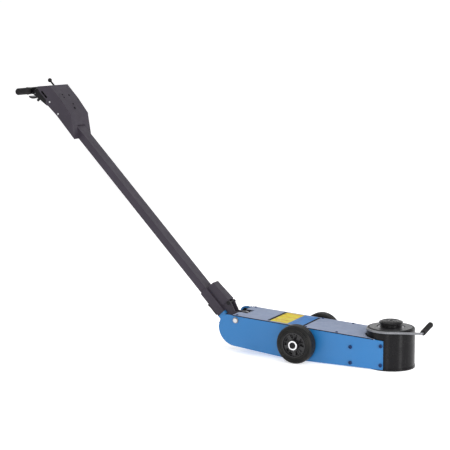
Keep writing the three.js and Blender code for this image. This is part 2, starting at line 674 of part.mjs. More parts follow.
// --------------------------------------------------------------- power unit
function addPowerUnit(group) {
  const pumpRear = PUMP_FRONT_X - PUMP_LENGTH;
  const pumpLow = plateBottomZ(PUMP_FRONT_X) + PUMP_CLEARANCE;
  const noseFront = PUMP_GAP - CYLINDER_RADIUS;
  const noseHalf = PUMP_NOSE_WIDTH / 2;
  const noseTop = PUMP_TOP_Z - PUMP_NOSE_DROP;
  const nose = block(PUMP_FRONT_X - 1, noseFront, -noseHalf, noseHalf, pumpLow, noseTop);
  const body = block(pumpRear, PUMP_FRONT_X, -INSIDE_HALF, INSIDE_HALF, pumpLow, PUMP_TOP_Z);
  const cylinderSpace = turned([
    [0, 0],
    [FOOT_RADIUS + FIT_GAP, 0],
    [FOOT_RADIUS + FIT_GAP, CYLINDER_HEIGHT],
    [0, CYLINDER_HEIGHT],
  ], FACETS_LARGE);
  const bores = SIDES.flatMap(([, side]) => BOLT_PLACES.slice(2).map((place) => boltHole(place, side)));
  const pipeAt = (x) => point(x, PIPE_Y, PIPE_Z);
  const suction = roundBar(PIPE_BORE, pipeAt(pumpRear - 1), pipeAt(pumpRear + PORT_DEPTH), FACETS_TINY);
  addPiece(group, 'pump_block', cut(join(body, nose), cylinderSpace, suction, ...bores), FINISH.ironGrey());

  const motorFront = pumpRear - FIT_GAP;
  const motor = turned([
    [0, 0],
    [MOTOR_RADIUS, 0],
    [MOTOR_RADIUS, MOTOR_FLANGE],
    [MOTOR_RADIUS - MOTOR_STEP, MOTOR_FLANGE + 2],
    [MOTOR_RADIUS - MOTOR_STEP, MOTOR_LENGTH - MOTOR_FLANGE - 2],
    [MOTOR_RADIUS, MOTOR_LENGTH - MOTOR_FLANGE],
    [MOTOR_RADIUS, MOTOR_LENGTH - MOTOR_STEP],
    [MOTOR_RADIUS - MOTOR_STEP, MOTOR_LENGTH],
    [0, MOTOR_LENGTH],
  ], FACETS_SMALL).rotateY(-Math.PI / 2).translate(motorFront, 0, MOTOR_Z);
  addPiece(group, 'air_motor', motor, FINISH.steel());

  const half = PLATE_INNER_Y - TANK_SIDE_GAP;
  const fillerX = TANK_REAR_X + (TANK_FRONT_X - TANK_REAR_X) / 4;
  const shell = block(TANK_REAR_X, TANK_FRONT_X, -half, half, TANK_BOTTOM_Z, TANK_TOP_Z);
  const hollow = half - TANK_WALL;
  const inside = block(TANK_REAR_X + TANK_WALL, TANK_FRONT_X - TANK_WALL, -hollow, hollow,
    TANK_BOTTOM_Z + TANK_WALL, TANK_TOP_Z - TANK_WALL);
  const filler = roundBar(FILLER_RADIUS + FIT_GAP, point(fillerX, 0, TANK_TOP_Z - TANK_WALL - 1),
    point(fillerX, 0, TANK_TOP_Z + 1), FACETS_SMALL);
  const outletStart = pipeAt(TANK_FRONT_X - TANK_WALL - 1);
  const outlet = roundBar(PIPE_BORE, outletStart, pipeAt(TANK_FRONT_X + 1), FACETS_TINY);
  addPiece(group, 'oil_tank', cut(shell, inside, filler, outlet), FINISH.blackPaint());
  const plug = turned([
    [0, TANK_TOP_Z - TANK_WALL],
    [FILLER_RADIUS, TANK_TOP_Z - TANK_WALL],
    [FILLER_RADIUS, TANK_TOP_Z + FIT_GAP],
    [PLUG_RADIUS, TANK_TOP_Z + FIT_GAP],
    [PLUG_RADIUS, TANK_TOP_Z + 7],
    [PLUG_RADIUS - 2, TANK_TOP_Z + 9],
    [0, TANK_TOP_Z + 9],
  ], FACETS_SMALL).translate(fillerX, 0, 0);
  addPiece(group, 'filler_plug', plug, FINISH.brass());

  const pipeLength = pumpRear - TANK_FRONT_X - 2 * FIT_GAP;
  const pipe = turned([
    [PIPE_BORE, 0],
    [PIPE_RADIUS, 0],
    [PIPE_RADIUS, pipeLength],
    [PIPE_BORE, pipeLength],
  ], FACETS_TINY).rotateY(-Math.PI / 2).translate(pumpRear - FIT_GAP, PIPE_Y, PIPE_Z);
  addPiece(group, 'suction_pipe', pipe, FINISH.steel());
}

// ----------------------------------------------------------- wheels, axle
function addAxle(group) {
  const axle = crossBar(AXLE_RADIUS, AXLE_X, WHEEL_RADIUS, -AXLE_END_Y, AXLE_END_Y, FACETS_SMALL);
  addPiece(group, 'wheel_axle', axle, FINISH.steel());
  SIDES.forEach(([label, side]) => {
    const start = HUB_END_Y + RUN_GAP;
    const ring = turnedAcross([
      [AXLE_RADIUS + FIT_GAP, start],
      [HUB_RING_RADIUS, start],
      [HUB_RING_RADIUS, start + HUB_RING_THICKNESS],
      [AXLE_RADIUS + FIT_GAP, start + HUB_RING_THICKNESS],
    ], side, FACETS_SMALL).translate(AXLE_X, 0, WHEEL_RADIUS);
    addPiece(group, `hub_washer_${label}`, ring, FINISH.zinc());
  });
}

function addWheel(group, label, side) {
  const inner = WHEEL_OUTER_Y - TREAD_WIDTH;
  const seat = RIM_RADIUS + FIT_GAP;
  const tyre = turnedAcross([
    [seat, inner],
    [WHEEL_RADIUS - TREAD_SHOULDER, inner],
    [WHEEL_RADIUS - 2, inner + TREAD_SHOULDER - 2],
    [WHEEL_RADIUS, inner + TREAD_SHOULDER + 2],
    [WHEEL_RADIUS, WHEEL_OUTER_Y - TREAD_SHOULDER - 2],
    [WHEEL_RADIUS - 2, WHEEL_OUTER_Y - TREAD_SHOULDER + 2],
    [WHEEL_RADIUS - TREAD_SHOULDER, WHEEL_OUTER_Y],
    [seat, WHEEL_OUTER_Y],
  ], side, FACETS_MEDIUM).translate(AXLE_X, 0, WHEEL_RADIUS);
  addPiece(group, `tyre_${label}`, tyre, FINISH.tyre());
  const bore = AXLE_RADIUS + RUN_GAP;
  const hubInner = PLATE_OUTER_Y + RUN_GAP + 1;
  const web = WHEEL_OUTER_Y - RIM_RECESS;
  const disc = turnedAcross([
    [bore, hubInner],
    [HUB_RADIUS, hubInner],
    [HUB_RADIUS, inner + RIM_RECESS],
    [RIM_RADIUS - 5, inner + RIM_RECESS],
    [RIM_RADIUS - 3, inner],
    [RIM_RADIUS, inner],
    [RIM_RADIUS, WHEEL_OUTER_Y],
    [RIM_RADIUS - 3, WHEEL_OUTER_Y],
    [RIM_RADIUS - 5, web],
    [HUB_RADIUS, web],
    [HUB_RADIUS - 1, HUB_END_Y],
    [bore, HUB_END_Y],
  ], side, FACETS_MEDIUM);
  const pockets = [];
  for (let i = 0; i < RIM_POCKETS; i += 1) {
    const angle = (2 * Math.PI * i) / RIM_POCKETS + Math.PI / 2;
    pockets.push(rimPocket(angle, side, inner));
  }
  const rim = cut(disc, ...pockets).translate(AXLE_X, 0, WHEEL_RADIUS);
  addPiece(group, `rim_${label}`, rim, FINISH.rim());
}

// A ring-shaped window between two spokes, through the whole web.
function rimPocket(angle, side, inner) {
  const half = Math.PI / RIM_POCKETS - SPOKE_HALF_ANGLE;
  const low = HUB_RADIUS + 3;
  const high = RIM_RADIUS - 7;
  const shape = new THREE.Shape();
  shape.absarc(0, 0, high, angle - half, angle + half, false);
  shape.absarc(0, 0, low, angle + half * 0.8, angle - half * 0.8, true);
  shape.closePath();
  const depth = RIM_RECESS * 1.6;
  const y0 = WHEEL_OUTER_Y - RIM_RECESS - depth;
  const y1 = WHEEL_OUTER_Y + 1;
  return side > 0 ? acrossY(shape, y0, y1, 4) : acrossY(shape, -y1, -y0, 4);
}

// ------------------------------------------------------ handle pivot, lock
// Turns a point of the handle's own frame into the jack's frame.
function handlePoint(u, n, angle) {
  return [
    PIVOT_X - u * Math.cos(angle) + n * Math.sin(angle),
    PIVOT_Z + u * Math.sin(angle) + n * Math.cos(angle),
  ];
}

function sectorTooth(angle) {
  const root = TOOTH_ROOT - SECTOR_RADIUS;
  const tip = -SECTOR_RADIUS - TOOTH_HEIGHT;
  return acrossY(outline([
    handlePoint(STOP_SEAT_U, root, angle),
    handlePoint(STOP_SEAT_U, tip, angle),
    handlePoint(STOP_SEAT_U - TOOTH_LENGTH * TOOTH_CREST, tip, angle),
    handlePoint(STOP_SEAT_U - TOOTH_LENGTH, root, angle),
  ]), -SECTOR_THICKNESS / 2, SECTOR_THICKNESS / 2);
}

function addPivot(group) {
  const end = PLATE_OUTER_Y + PIN_PROUD;
  const pin = crossBar(PIN_RADIUS, PIVOT_X, PIVOT_Z, -end, end, FACETS_SMALL);
  addPiece(group, 'pivot_pin', pin, FINISH.zinc());
  SIDES.forEach(([label, side]) => {
    const face = PLATE_OUTER_Y + FIT_GAP;
    const ring = turnedAcross([
      [PIN_RADIUS + FIT_GAP, face],
      [PIN_RING_RADIUS, face],
      [PIN_RING_RADIUS, face + PIN_RING_THICKNESS],
      [PIN_RADIUS + FIT_GAP, face + PIN_RING_THICKNESS],
    ], side, FACETS_SMALL).translate(PIVOT_X, 0, PIVOT_Z);
    addPiece(group, `pin_ring_${label}`, ring, FINISH.steel());
  });
  const bar = crossBar(CROSS_BAR_RADIUS, CROSS_BAR_X, CROSS_BAR_Z, -INSIDE_HALF, INSIDE_HALF, FACETS_SMALL);
  addPiece(group, 'rear_cross_bar', bar, FINISH.steel());
}

// The toothed plate that holds the handle at its three heights.
function addStopSector(group) {
  const lowered = HANDLE_ANGLE - HANDLE_LOWER;
  const raised = HANDLE_ANGLE + HANDLE_RAISE;
  const seats = [lowered, HANDLE_ANGLE, raised];
  const rearDirection = (angle) => Math.atan2(-Math.cos(angle), -Math.sin(angle));
  const barFront = CROSS_BAR_X + CROSS_BAR_RADIUS + SECTOR_MARGIN;
  const barLow = CROSS_BAR_Z - CROSS_BAR_RADIUS - SECTOR_MARGIN;
  const fan = new THREE.Shape();
  fan.moveTo(PIVOT_X + SECTOR_HUB_RADIUS, PIVOT_Z - SECTOR_EDGE);
  fan.lineTo(barFront, CROSS_BAR_Z + SECTOR_EDGE);
  fan.lineTo(barFront, barLow);
  fan.absarc(PIVOT_X, PIVOT_Z, SECTOR_RADIUS, rearDirection(lowered - SECTOR_PAST_LOW),
    rearDirection(raised + SECTOR_PAST_HIGH), true);
  fan.lineTo(PIVOT_X - SECTOR_EDGE, PIVOT_Z + SECTOR_HUB_RADIUS);
  const half = SECTOR_THICKNESS / 2;
  const plate = join(
    acrossY(fan, -half, half, FACETS_SMALL),
    crossBar(SECTOR_HUB_RADIUS, PIVOT_X, PIVOT_Z, -half, half, FACETS_SMALL),
    ...seats.map(sectorTooth),
  );
  const hole = (radius, x, z) => crossBar(radius + FIT_GAP, x, z, -half - 1, half + 1, FACETS_SMALL);
  const pinHole = hole(PIN_RADIUS, PIVOT_X, PIVOT_Z);
  const barHole = hole(CROSS_BAR_RADIUS, CROSS_BAR_X, CROSS_BAR_Z);
  const sector = cut(plate, pinHole, barHole);
  addPiece(group, 'stop_sector', sector, FINISH.steel());
}

// --------------------------------------------------------------- the handle
// Its own frame sits on the pivot: x runs up the handle, z points to its front, y to the jack's right.
function handleFrame() {
  const up = point(-Math.cos(HANDLE_ANGLE), 0, Math.sin(HANDLE_ANGLE));
  const front = point(Math.sin(HANDLE_ANGLE), 0, Math.cos(HANDLE_ANGLE));
  const frame = new THREE.Group();
  frame.quaternion.setFromRotationMatrix(new THREE.Matrix4().makeBasis(up, point(0, -1, 0), front));
  frame.position.set(PIVOT_X, 0, PIVOT_Z);
  return frame;
}

function addHandleFoot(frame) {
  const innerY = YOKE_SPREAD / 2;
  const outerY = innerY + YOKE_THICKNESS;
  const coverFront = SOCKET_FRONT_N + COVER_BOX_DEPTH;
  const slant = COVER_BOX_TAPER / (COVER_BOX_HIGH - COVER_BOX_LOW);
  const frontLine = (u) => coverFront - slant * Math.max(0, u - COVER_BOX_LOW);
  const cheekFront = (u) => frontLine(u) - COVER_BOX_THICKNESS - 2 * FIT_GAP;
  const rear = SOCKET_FRONT_N + FIT_GAP;
  const cheekHigh = COVER_BOX_HIGH - 6;
  const cheek = new THREE.Shape();
  cheek.absarc(0, 0, YOKE_HUB_RADIUS, -0.55 * Math.PI, 0.15 * Math.PI, true);
  cheek.lineTo(YOKE_WAIST_U, YOKE_WAIST_N);
  cheek.lineTo(YOKE_BOLT_U - 8, cheekFront(YOKE_BOLT_U));
  cheek.lineTo(COVER_BOX_LOW, cheekFront(COVER_BOX_LOW));
  cheek.lineTo(cheekHigh, cheekFront(cheekHigh));
  cheek.lineTo(cheekHigh, rear);
  cheek.lineTo(FOOT_LOW - FIT_GAP, rear);
  cheek.lineTo(FOOT_LOW - FIT_GAP, rear - 12);
  const reach = 2 * outerY;
  const bolt = crossBar(YOKE_BOLT_RADIUS + FIT_GAP, YOKE_BOLT_U, YOKE_BOLT_N, -reach, reach, FACETS_TINY);
  const pinHole = crossBar(PIN_RADIUS + RUN_GAP, 0, 0, -reach, reach, FACETS_SMALL);
  const web = block(cheekHigh - YOKE_WEB, cheekHigh, -innerY - 1, innerY + 1, rear, rear + 6);
  const yoke = cut(
    join(
      acrossY(cheek, -outerY, -innerY, FACETS_TINY),
      acrossY(cheek, innerY, outerY, FACETS_TINY),
      web,
    ),
    bolt,
    pinHole,
  );
  addPiece(frame, 'pivot_yoke', yoke, FINISH.handlePaint());

  const coverInner = outerY + FIT_GAP;
  const coverOuter = coverInner + COVER_BOX_THICKNESS;
  const side = outline([
    [COVER_BOX_LOW, frontLine(COVER_BOX_LOW)],
    [COVER_BOX_HIGH, frontLine(COVER_BOX_HIGH)],
    [COVER_BOX_HIGH, rear],
    [COVER_BOX_LOW, rear],
  ]);
  const hollow = outline([
    [COVER_BOX_LOW - 1, frontLine(COVER_BOX_LOW) - COVER_BOX_THICKNESS],
    [COVER_BOX_LOW, frontLine(COVER_BOX_LOW) - COVER_BOX_THICKNESS],
    [COVER_BOX_HIGH - COVER_BOX_THICKNESS, frontLine(COVER_BOX_HIGH) - COVER_BOX_THICKNESS],
    [COVER_BOX_HIGH - COVER_BOX_THICKNESS, rear - 1],
    [COVER_BOX_LOW - 1, rear - 1],
  ]);
  const box = cut(acrossY(side, -coverOuter, coverOuter), acrossY(hollow, -coverInner, coverInner));
  addPiece(frame, 'yoke_cover', box, FINISH.handlePaint());

  const boltEnd = coverOuter + 3;
  const shank = turnedAcross([
    [0, -boltEnd],
    [YOKE_HEAD_RADIUS, -boltEnd],
    [YOKE_HEAD_RADIUS, -outerY - FIT_GAP],
    [YOKE_BOLT_RADIUS, -outerY - FIT_GAP],
    [YOKE_BOLT_RADIUS, outerY + FIT_GAP],
    [YOKE_HEAD_RADIUS, outerY + FIT_GAP],
    [YOKE_HEAD_RADIUS, boltEnd],
    [0, boltEnd],
  ], 1, FACETS_TINY).translate(YOKE_BOLT_U, 0, YOKE_BOLT_N);
  addPiece(frame, 'yoke_bolt', shank, FINISH.blackPaint());
}

function addHandleTube(frame) {
  const tubeHalf = TUBE_WIDTH / 2;
  const sleeveHalf = tubeHalf + FIT_GAP + SOCKET_WALL;
  const bore = block(SOCKET_LOW - 1, SOCKET_HIGH + 1, -tubeHalf - FIT_GAP, tubeHalf + FIT_GAP,
    TUBE_N - TUBE_DEPTH / 2 - FIT_GAP, TUBE_FRONT_N + FIT_GAP);
  const spaceRadius = SECTOR_RADIUS + TOOTH_HEIGHT + SECTOR_ROOM;
  const sectorSpace = crossBar(spaceRadius, 0, 0, -SECTOR_THICKNESS, SECTOR_THICKNESS, FACETS_LARGE);
  const sleeve = (low, high) => block(low, high, -sleeveHalf, sleeveHalf, SOCKET_REAR_N, SOCKET_FRONT_N);
  const socket = sleeve(SOCKET_LOW, SOCKET_HIGH);
  addPiece(frame, 'handle_socket', cut(socket, bore, sectorSpace), FINISH.handlePaint());
  const foot = sleeve(FOOT_LOW, FOOT_LOW + FOOT_LENGTH);
  addPiece(frame, 'socket_foot', cut(foot, sectorSpace), FINISH.bluePaint());

  const inner = TUBE_WALL;
  const tube = cut(
    block(TUBE_LOW, TUBE_HIGH, -tubeHalf, tubeHalf, TUBE_N - TUBE_DEPTH / 2, TUBE_FRONT_N),
    block(TUBE_LOW - 1, TUBE_HIGH + 1, inner - tubeHalf, tubeHalf - inner,
      TUBE_N - TUBE_DEPTH / 2 + inner, TUBE_FRONT_N - inner),
  );
  addPiece(frame, 'handle_tube', tube, FINISH.handlePaint());
}

function addStopRod(frame) {
  const bore = STOP_ROD_RADIUS + RUN_GAP;
  const rodLow = STOP_SEAT_U + 0.5 + STOP_TRAVEL;
  const place = (profile, sides) => turned(profile, sides).rotateY(Math.PI / 2).translate(0, 0, STOP_ROD_N);
  const barrelHigh = BARREL_LOW + BARREL_LENGTH;
  const barrel = place([
    [bore, BARREL_LOW],
    [BARREL_RADIUS - 1.5, BARREL_LOW],
    [BARREL_RADIUS, BARREL_LOW + 1.5],
    [BARREL_RADIUS, barrelHigh],
    [bore, barrelHigh],
  ], FACETS_SMALL);
  const seatHalf = BARREL_FOOT / 2;
  const seat = block(BARREL_LOW + 2, barrelHigh, -seatHalf, seatHalf, STOP_ROD_N, SOCKET_REAR_N - FIT_GAP);
  const rodSpace = place([
    [0, BARREL_LOW - 1],
    [bore, BARREL_LOW - 1],
    [bore, barrelHigh + 1],
    [0, barrelHigh + 1],
  ], FACETS_SMALL);
  addPiece(frame, 'stop_barrel', cut(join(barrel, seat), rodSpace), FINISH.blackPaint());
  const clipLow = barrelHigh + FIT_GAP;
  const clip = place([
    [bore, clipLow],
    [CLIP_RADIUS, clipLow],
    [CLIP_RADIUS, clipLow + CLIP_LENGTH],
    [bore, clipLow + CLIP_LENGTH],
  ], FACETS_SMALL);
  addPiece(frame, 'barrel_clip', clip, FINISH.rubber());
  const rod = place([
    [0, rodLow],
    [STOP_ROD_RADIUS, rodLow],
    [STOP_ROD_RADIUS, rodLow + STOP_ROD_LENGTH],
    [0, rodLow + STOP_ROD_LENGTH],
  ], FACETS_TINY);
  addPiece(frame, 'stop_rod', rod, FINISH.zinc());
}

// -------------------------------------------------------------- head piece
const HEAD_HALF = HEAD_WIDTH / 2;
const HEAD_FRONT_LINE = [
  [HEAD_LOW, HEAD_LOW_N],
  [HEAD_KNEE_U, HEAD_KNEE_N],
  [HEAD_FACE_U, HEAD_FACE_N],
  [HEAD_FOLD_U, HEAD_FOLD_N],
  [HEAD_BEAK_U, HEAD_BEAK_N],
];
const BEAK_SLOPE = (HEAD_BEAK_N - HEAD_FOLD_N) / (HEAD_BEAK_U - HEAD_FOLD_U);

function addHeadHousing(frame) {
  const rearLine = [
    [HEAD_BEAK_U - 1, HEAD_BEAK_N - BEAK_LIP],
    [SLOT_HIGH_U + 1, SLOT_N - SLOT_HALF - SLOT_WALL],
    [SLOT_LOW_U - 4, SLOT_N - SLOT_HALF - SLOT_WALL],
    [SLOT_LOW_U - 10, HEAD_REAR_N - BEAK_LIP],
    [HEAD_REAR_U, HEAD_REAR_N],
  ];
  const side = outline([...HEAD_FRONT_LINE, ...rearLine]);
  const skin = outline([...HEAD_FRONT_LINE, ...offsetLine(HEAD_FRONT_LINE, -HEAD_WALL).reverse()]);
  const inner = HEAD_HALF - HEAD_WALL;
  const shell = join(
    acrossY(side, inner, HEAD_HALF),
    acrossY(side, -HEAD_HALF, -inner),
    acrossY(skin, -inner - 1, inner + 1),
  );
  const notchHalf = TUBE_WIDTH / 2 + NOTCH_MARGIN;
  const wingSlope = (HEAD_KNEE_N - HEAD_LOW_N) / (HEAD_KNEE_U - HEAD_LOW);
  const skinDrop = HEAD_WALL * Math.hypot(1, wingSlope) + FIT_GAP;
  const notchTop = HEAD_LOW + (TUBE_FRONT_N + skinDrop - HEAD_LOW_N) / wingSlope + NOTCH_MARGIN;
  const notch = new THREE.Shape();
  notch.moveTo(HEAD_LOW - 5, -notchHalf);
  notch.lineTo(notchTop - NOTCH_ROUND, -notchHalf);
  notch.quadraticCurveTo(notchTop, -notchHalf, notchTop, NOTCH_ROUND - notchHalf);
  notch.lineTo(notchTop, notchHalf - NOTCH_ROUND);
  notch.quadraticCurveTo(notchTop, notchHalf, notchTop - NOTCH_ROUND, notchHalf);
  notch.lineTo(HEAD_LOW - 5, notchHalf);
  const leverReach = HEAD_FOLD_U + LEVER_SLOT_PAST - LEVER_PIVOT_U;
  const skinReach = LEVER_ROD_RADIUS + leverReach * Math.tan(LEVER_SWING) + 2;
  const slotHalf = LEVER_ROD_RADIUS + LEVER_SLOT_ROOM;
  const leverSlot = block(HEAD_FOLD_U - 14, HEAD_BEAK_U, -slotHalf, slotHalf,
    LEVER_PIVOT_N - skinReach, LEVER_PIVOT_N + skinReach);
  const sideSlot = block(SLOT_LOW_U, SLOT_HIGH_U, -HEAD_WIDTH, HEAD_WIDTH,
    SLOT_N - SLOT_HALF, SLOT_N + SLOT_HALF);
  const cuts = [upZ(notch, HEAD_LOW_N - 20, 0), leverSlot, sideSlot];
  addPiece(frame, 'head_housing', cut(shell, ...cuts), FINISH.handlePaint());
}

const BRACKET_HALF = HEAD_HALF - HEAD_WALL - FIT_GAP;

function bracketSide() {
  const lid = (u) => HEAD_BEAK_N - BRACKET_WALL + BEAK_SLOPE * (u - HEAD_BEAK_U);
  return outline([
    [BRACKET_LOW_U, BRACKET_ROOF_N],
    [HEAD_BEAK_U + 1, lid(HEAD_BEAK_U + 1)],
    [BRACKET_TIP_U - 4, lid(BRACKET_TIP_U - 4)],
    [BRACKET_TIP_U, BRACKET_TIP_N],
    [BRACKET_TIP_U - BRACKET_CHIN_BACK, BRACKET_TIP_N - BRACKET_CHIN_DROP],
    [BRACKET_NECK_U, BRACKET_NECK_N],
    [BRACKET_RIM_U, BRACKET_RIM_N],
    [BRACKET_DIP_U, BRACKET_DIP_N],
    [BRACKET_LOW_U, BRACKET_LOW_N],
  ]);
}

function bracketPlan(inset) {
  const wide = BRACKET_HALF - inset;
  const slim = BRACKET_TIP_WIDTH / 2 - inset;
  const high = BRACKET_TIP_U + 2 * BRACKET_BOSS_RADIUS;
  const neck = BRACKET_TIP_U - TBAR_GRIP_RADIUS - TBAR_FLANGE - 2;
  return outline([
    [HEAD_REAR_U, -wide],
    [HEAD_BEAK_U - 2, -wide],
    [neck, -slim],
    [high, -slim],
    [high, slim],
    [neck, slim],
    [HEAD_BEAK_U - 2, wide],
    [HEAD_REAR_U, wide],
  ]);
}

// A channel open below, folded from sheet, with a boss at its tip for the T-bar.
function addGripBracket(frame) {
  const deep = BRACKET_TIP_N - 3 * BRACKET_BOSS_RADIUS;
  const outer = common(acrossY(bracketSide(), -HEAD_HALF, HEAD_HALF), upZ(bracketPlan(0), deep, 0));
  const inside = common(
    common(acrossY(bracketSide(), -HEAD_HALF, HEAD_HALF).translate(0, 0, -BRACKET_WALL),
      upZ(bracketPlan(BRACKET_WALL), deep, 0)),
    block(HEAD_REAR_U, BRACKET_TIP_U - BRACKET_BOSS_RADIUS - BRACKET_WALL, -HEAD_HALF, HEAD_HALF, deep, 0),
  );
  const half = BRACKET_TIP_WIDTH / 2;
  const boss = crossBar(BRACKET_BOSS_RADIUS, BRACKET_TIP_U, BRACKET_TIP_N, -half, half, FACETS_SMALL);
  const hole = (radius, u, n, facets) => crossBar(radius + FIT_GAP, u, n, -HEAD_HALF, HEAD_HALF, facets);
  const tbarHole = hole(TBAR_RADIUS, BRACKET_TIP_U, BRACKET_TIP_N, FACETS_SMALL);
  const pinHole = hole(TRIGGER_PIN_RADIUS, TRIGGER_PIN_U, TRIGGER_PIN_N, FACETS_TINY);
  const inletAt = (n) => point(INLET_U, -INLET_Y, n);
  const inletHole = roundBar(INLET_SHANK_RADIUS + FIT_GAP, inletAt(deep), inletAt(0), FACETS_SMALL);
  const bracket = cut(join(cut(outer, inside), boss), tbarHole, pinHole, inletHole);
  addPiece(frame, 'grip_bracket', bracket, FINISH.blackPaint());
}

function addTBar(frame) {
  const bar = crossBar(TBAR_RADIUS, BRACKET_TIP_U, BRACKET_TIP_N, -TBAR_HALF, TBAR_HALF, FACETS_SMALL);
  addPiece(frame, 't_bar', bar, FINISH.steel());
  SIDES.forEach(([label, side]) => {
    const end = TBAR_HALF + TBAR_GRIP_END;
    const start = end - TBAR_GRIP_LENGTH;
    const bore = TBAR_RADIUS + FIT_GAP;
    const grip = turnedAcross([
      [bore, start],
      [TBAR_GRIP_RADIUS + TBAR_FLANGE, start],
      [TBAR_GRIP_RADIUS + TBAR_FLANGE, start + TBAR_FLANGE_WIDTH],
      [TBAR_GRIP_RADIUS, start + TBAR_FLANGE_WIDTH + 2],
      [TBAR_GRIP_RADIUS, end - 3],
      [TBAR_GRIP_RADIUS - 2.5, end],
      [0, end],
      [0, TBAR_HALF + FIT_GAP],
      [bore, TBAR_HALF + FIT_GAP],
    ], -side, FACETS_SMALL).translate(BRACKET_TIP_U, 0, BRACKET_TIP_N);
    addPiece(frame, `t_grip_${label}`, grip, FINISH.rubber());
  });
}

function addTrigger(frame) {
  const halfPin = BRACKET_HALF - 1;
  const pin = crossBar(TRIGGER_PIN_RADIUS, TRIGGER_PIN_U, TRIGGER_PIN_N, -halfPin, halfPin, FACETS_TINY);
  addPiece(frame, 'trigger_pin', pin, FINISH.steel());
  const at = (u, n) => [TRIGGER_PIN_U + u, TRIGGER_PIN_N + n];
  const blade = new THREE.Shape();
  blade.absarc(...at(0, 0), TRIGGER_HUB_RADIUS, 0.15 * Math.PI, 1.05 * Math.PI, false);
  blade.lineTo(...at(-2, -TRIGGER_DROP / 2));
  blade.quadraticCurveTo(...at(4, 4 - TRIGGER_DROP), ...at(TRIGGER_REACH, -TRIGGER_DROP));
  blade.lineTo(...at(TRIGGER_REACH + 1, TRIGGER_THICKNESS - TRIGGER_DROP));
  blade.quadraticCurveTo(
    ...at(2 * TRIGGER_THICKNESS, 6 + TRIGGER_THICKNESS - TRIGGER_DROP),
    ...at(TRIGGER_THICKNESS - 1, -TRIGGER_DROP / 2),
  );
  const half = TRIGGER_WIDTH / 2;
  const bore = TRIGGER_PIN_RADIUS + RUN_GAP;
  const hole = crossBar(bore, TRIGGER_PIN_U, TRIGGER_PIN_N, -half - 1, half + 1, FACETS_TINY);
  addPiece(frame, 'release_trigger', cut(acrossY(blade, -half, half, 8), hole), FINISH.blackPaint());
}

// ----------------------------------------------- control valve, lever, inlet
function addControls(frame) {
  const half = VALVE_WIDTH / 2;
  const high = VALVE_LOW + VALVE_LENGTH;
  const earHigh = LEVER_PIVOT_U + LEVER_HUB_RADIUS + 1;
  const earLowN = LEVER_PIVOT_N - LEVER_HUB_RADIUS - 4;
  const earInner = LEVER_HUB_WIDTH / 2 + RUN_GAP;
  const earOuter = earInner + VALVE_EAR_THICKNESS;
  const ear = outline([
    [high - 2, earLowN],
    [high - 2, VALVE_FRONT_N],
    [earHigh, LEVER_PIVOT_N + LEVER_HUB_RADIUS + 1],
    [earHigh, earLowN],
  ]);
  const across = (radius, reach, facets) =>
    crossBar(radius, LEVER_PIVOT_U, LEVER_PIVOT_N, -reach, reach, facets);
  const body = join(
    block(VALVE_LOW, high, -half, half, TUBE_FRONT_N + FIT_GAP, VALVE_FRONT_N),
    acrossY(ear, earInner, earOuter),
    acrossY(ear, -earOuter, -earInner),
  );
  const valve = cut(body, across(LEVER_PIN_RADIUS + FIT_GAP, earOuter + 1, FACETS_TINY));
  addPiece(frame, 'valve_block', valve, FINISH.steel());
  addPiece(frame, 'lever_pin', across(LEVER_PIN_RADIUS, earOuter, FACETS_TINY), FINISH.steel());

  const tipU = LEVER_PIVOT_U + LEVER_ARM;
  const rodAt = (u) => point(u, 0, LEVER_PIVOT_N);
  const rod = (radius, fromU, toU) => roundBar(radius, rodAt(fromU), rodAt(toU), FACETS_TINY);
  const hub = across(LEVER_HUB_RADIUS, LEVER_HUB_WIDTH / 2, FACETS_SMALL);
  const lever = join(rod(LEVER_ROD_RADIUS, LEVER_PIVOT_U, tipU), hub);
  const bore = across(LEVER_PIN_RADIUS + RUN_GAP, earOuter, FACETS_TINY);
  addPiece(frame, 'control_lever', cut(lever, bore), FINISH.blackPaint());
  const knobU = tipU + 2;
  const ball = new THREE.SphereGeometry(KNOB_RADIUS, FACETS_TINY, 8).translate(knobU, 0, LEVER_PIVOT_N);
  const seat = rod(LEVER_ROD_RADIUS + FIT_GAP, knobU - 2 * KNOB_RADIUS, tipU + FIT_GAP);
  addPiece(frame, 'lever_knob', cut(ball, seat), FINISH.rubber());

  const collarEnd = INLET_SHANK + INLET_COLLAR;
  const inlet = turned([
    [INLET_BORE, 0],
    [INLET_SHANK_RADIUS, 0],
    [INLET_SHANK_RADIUS, INLET_SHANK],
    [INLET_RADIUS, INLET_SHANK],
    [INLET_RADIUS, collarEnd],
    [INLET_SHANK_RADIUS - 0.5, collarEnd + 1],
    [INLET_SHANK_RADIUS - 0.5, collarEnd + INLET_NIPPLE],
    [INLET_BORE, collarEnd + INLET_NIPPLE],
  ], FACETS_SMALL).rotateX(Math.PI).translate(INLET_U, -INLET_Y, INLET_TOP_N);
  addPiece(frame, 'air_inlet', inlet, FINISH.blackPaint());
}

// ----------------------------------------------------------------- assembly
addCylinder(jack);
addPistons(jack);
addSidePlates(jack);
addCovers(jack);
addPowerUnit(jack);
addAxle(jack);
SIDES.forEach(([label, side]) => addWheel(jack, label, side));
addFrontGrip(jack);
addPivot(jack);
addStopSector(jack);

const handle = handleFrame();
jack.add(handle);
addHandleFoot(handle);
addHandleTube(handle);
addStopRod(handle);
addHeadHousing(handle);
addGripBracket(handle);
addTBar(handle);
addTrigger(handle);
addControls(handle);

export default jack;
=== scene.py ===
"""Looks for the air-hydraulic trolley jack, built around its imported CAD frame.

Lengths are in metres. Outlines and lists of places are in millimetres, and in_mm(), on_handle() or
MM takes them to metres. The origin is the middle of the lifting cylinder's foot, with +X forward over
the front grip, +Y to the jack's left and +Z up.
"""
import json
import math

import bmesh
import bpy
from mathutils import Matrix, Vector


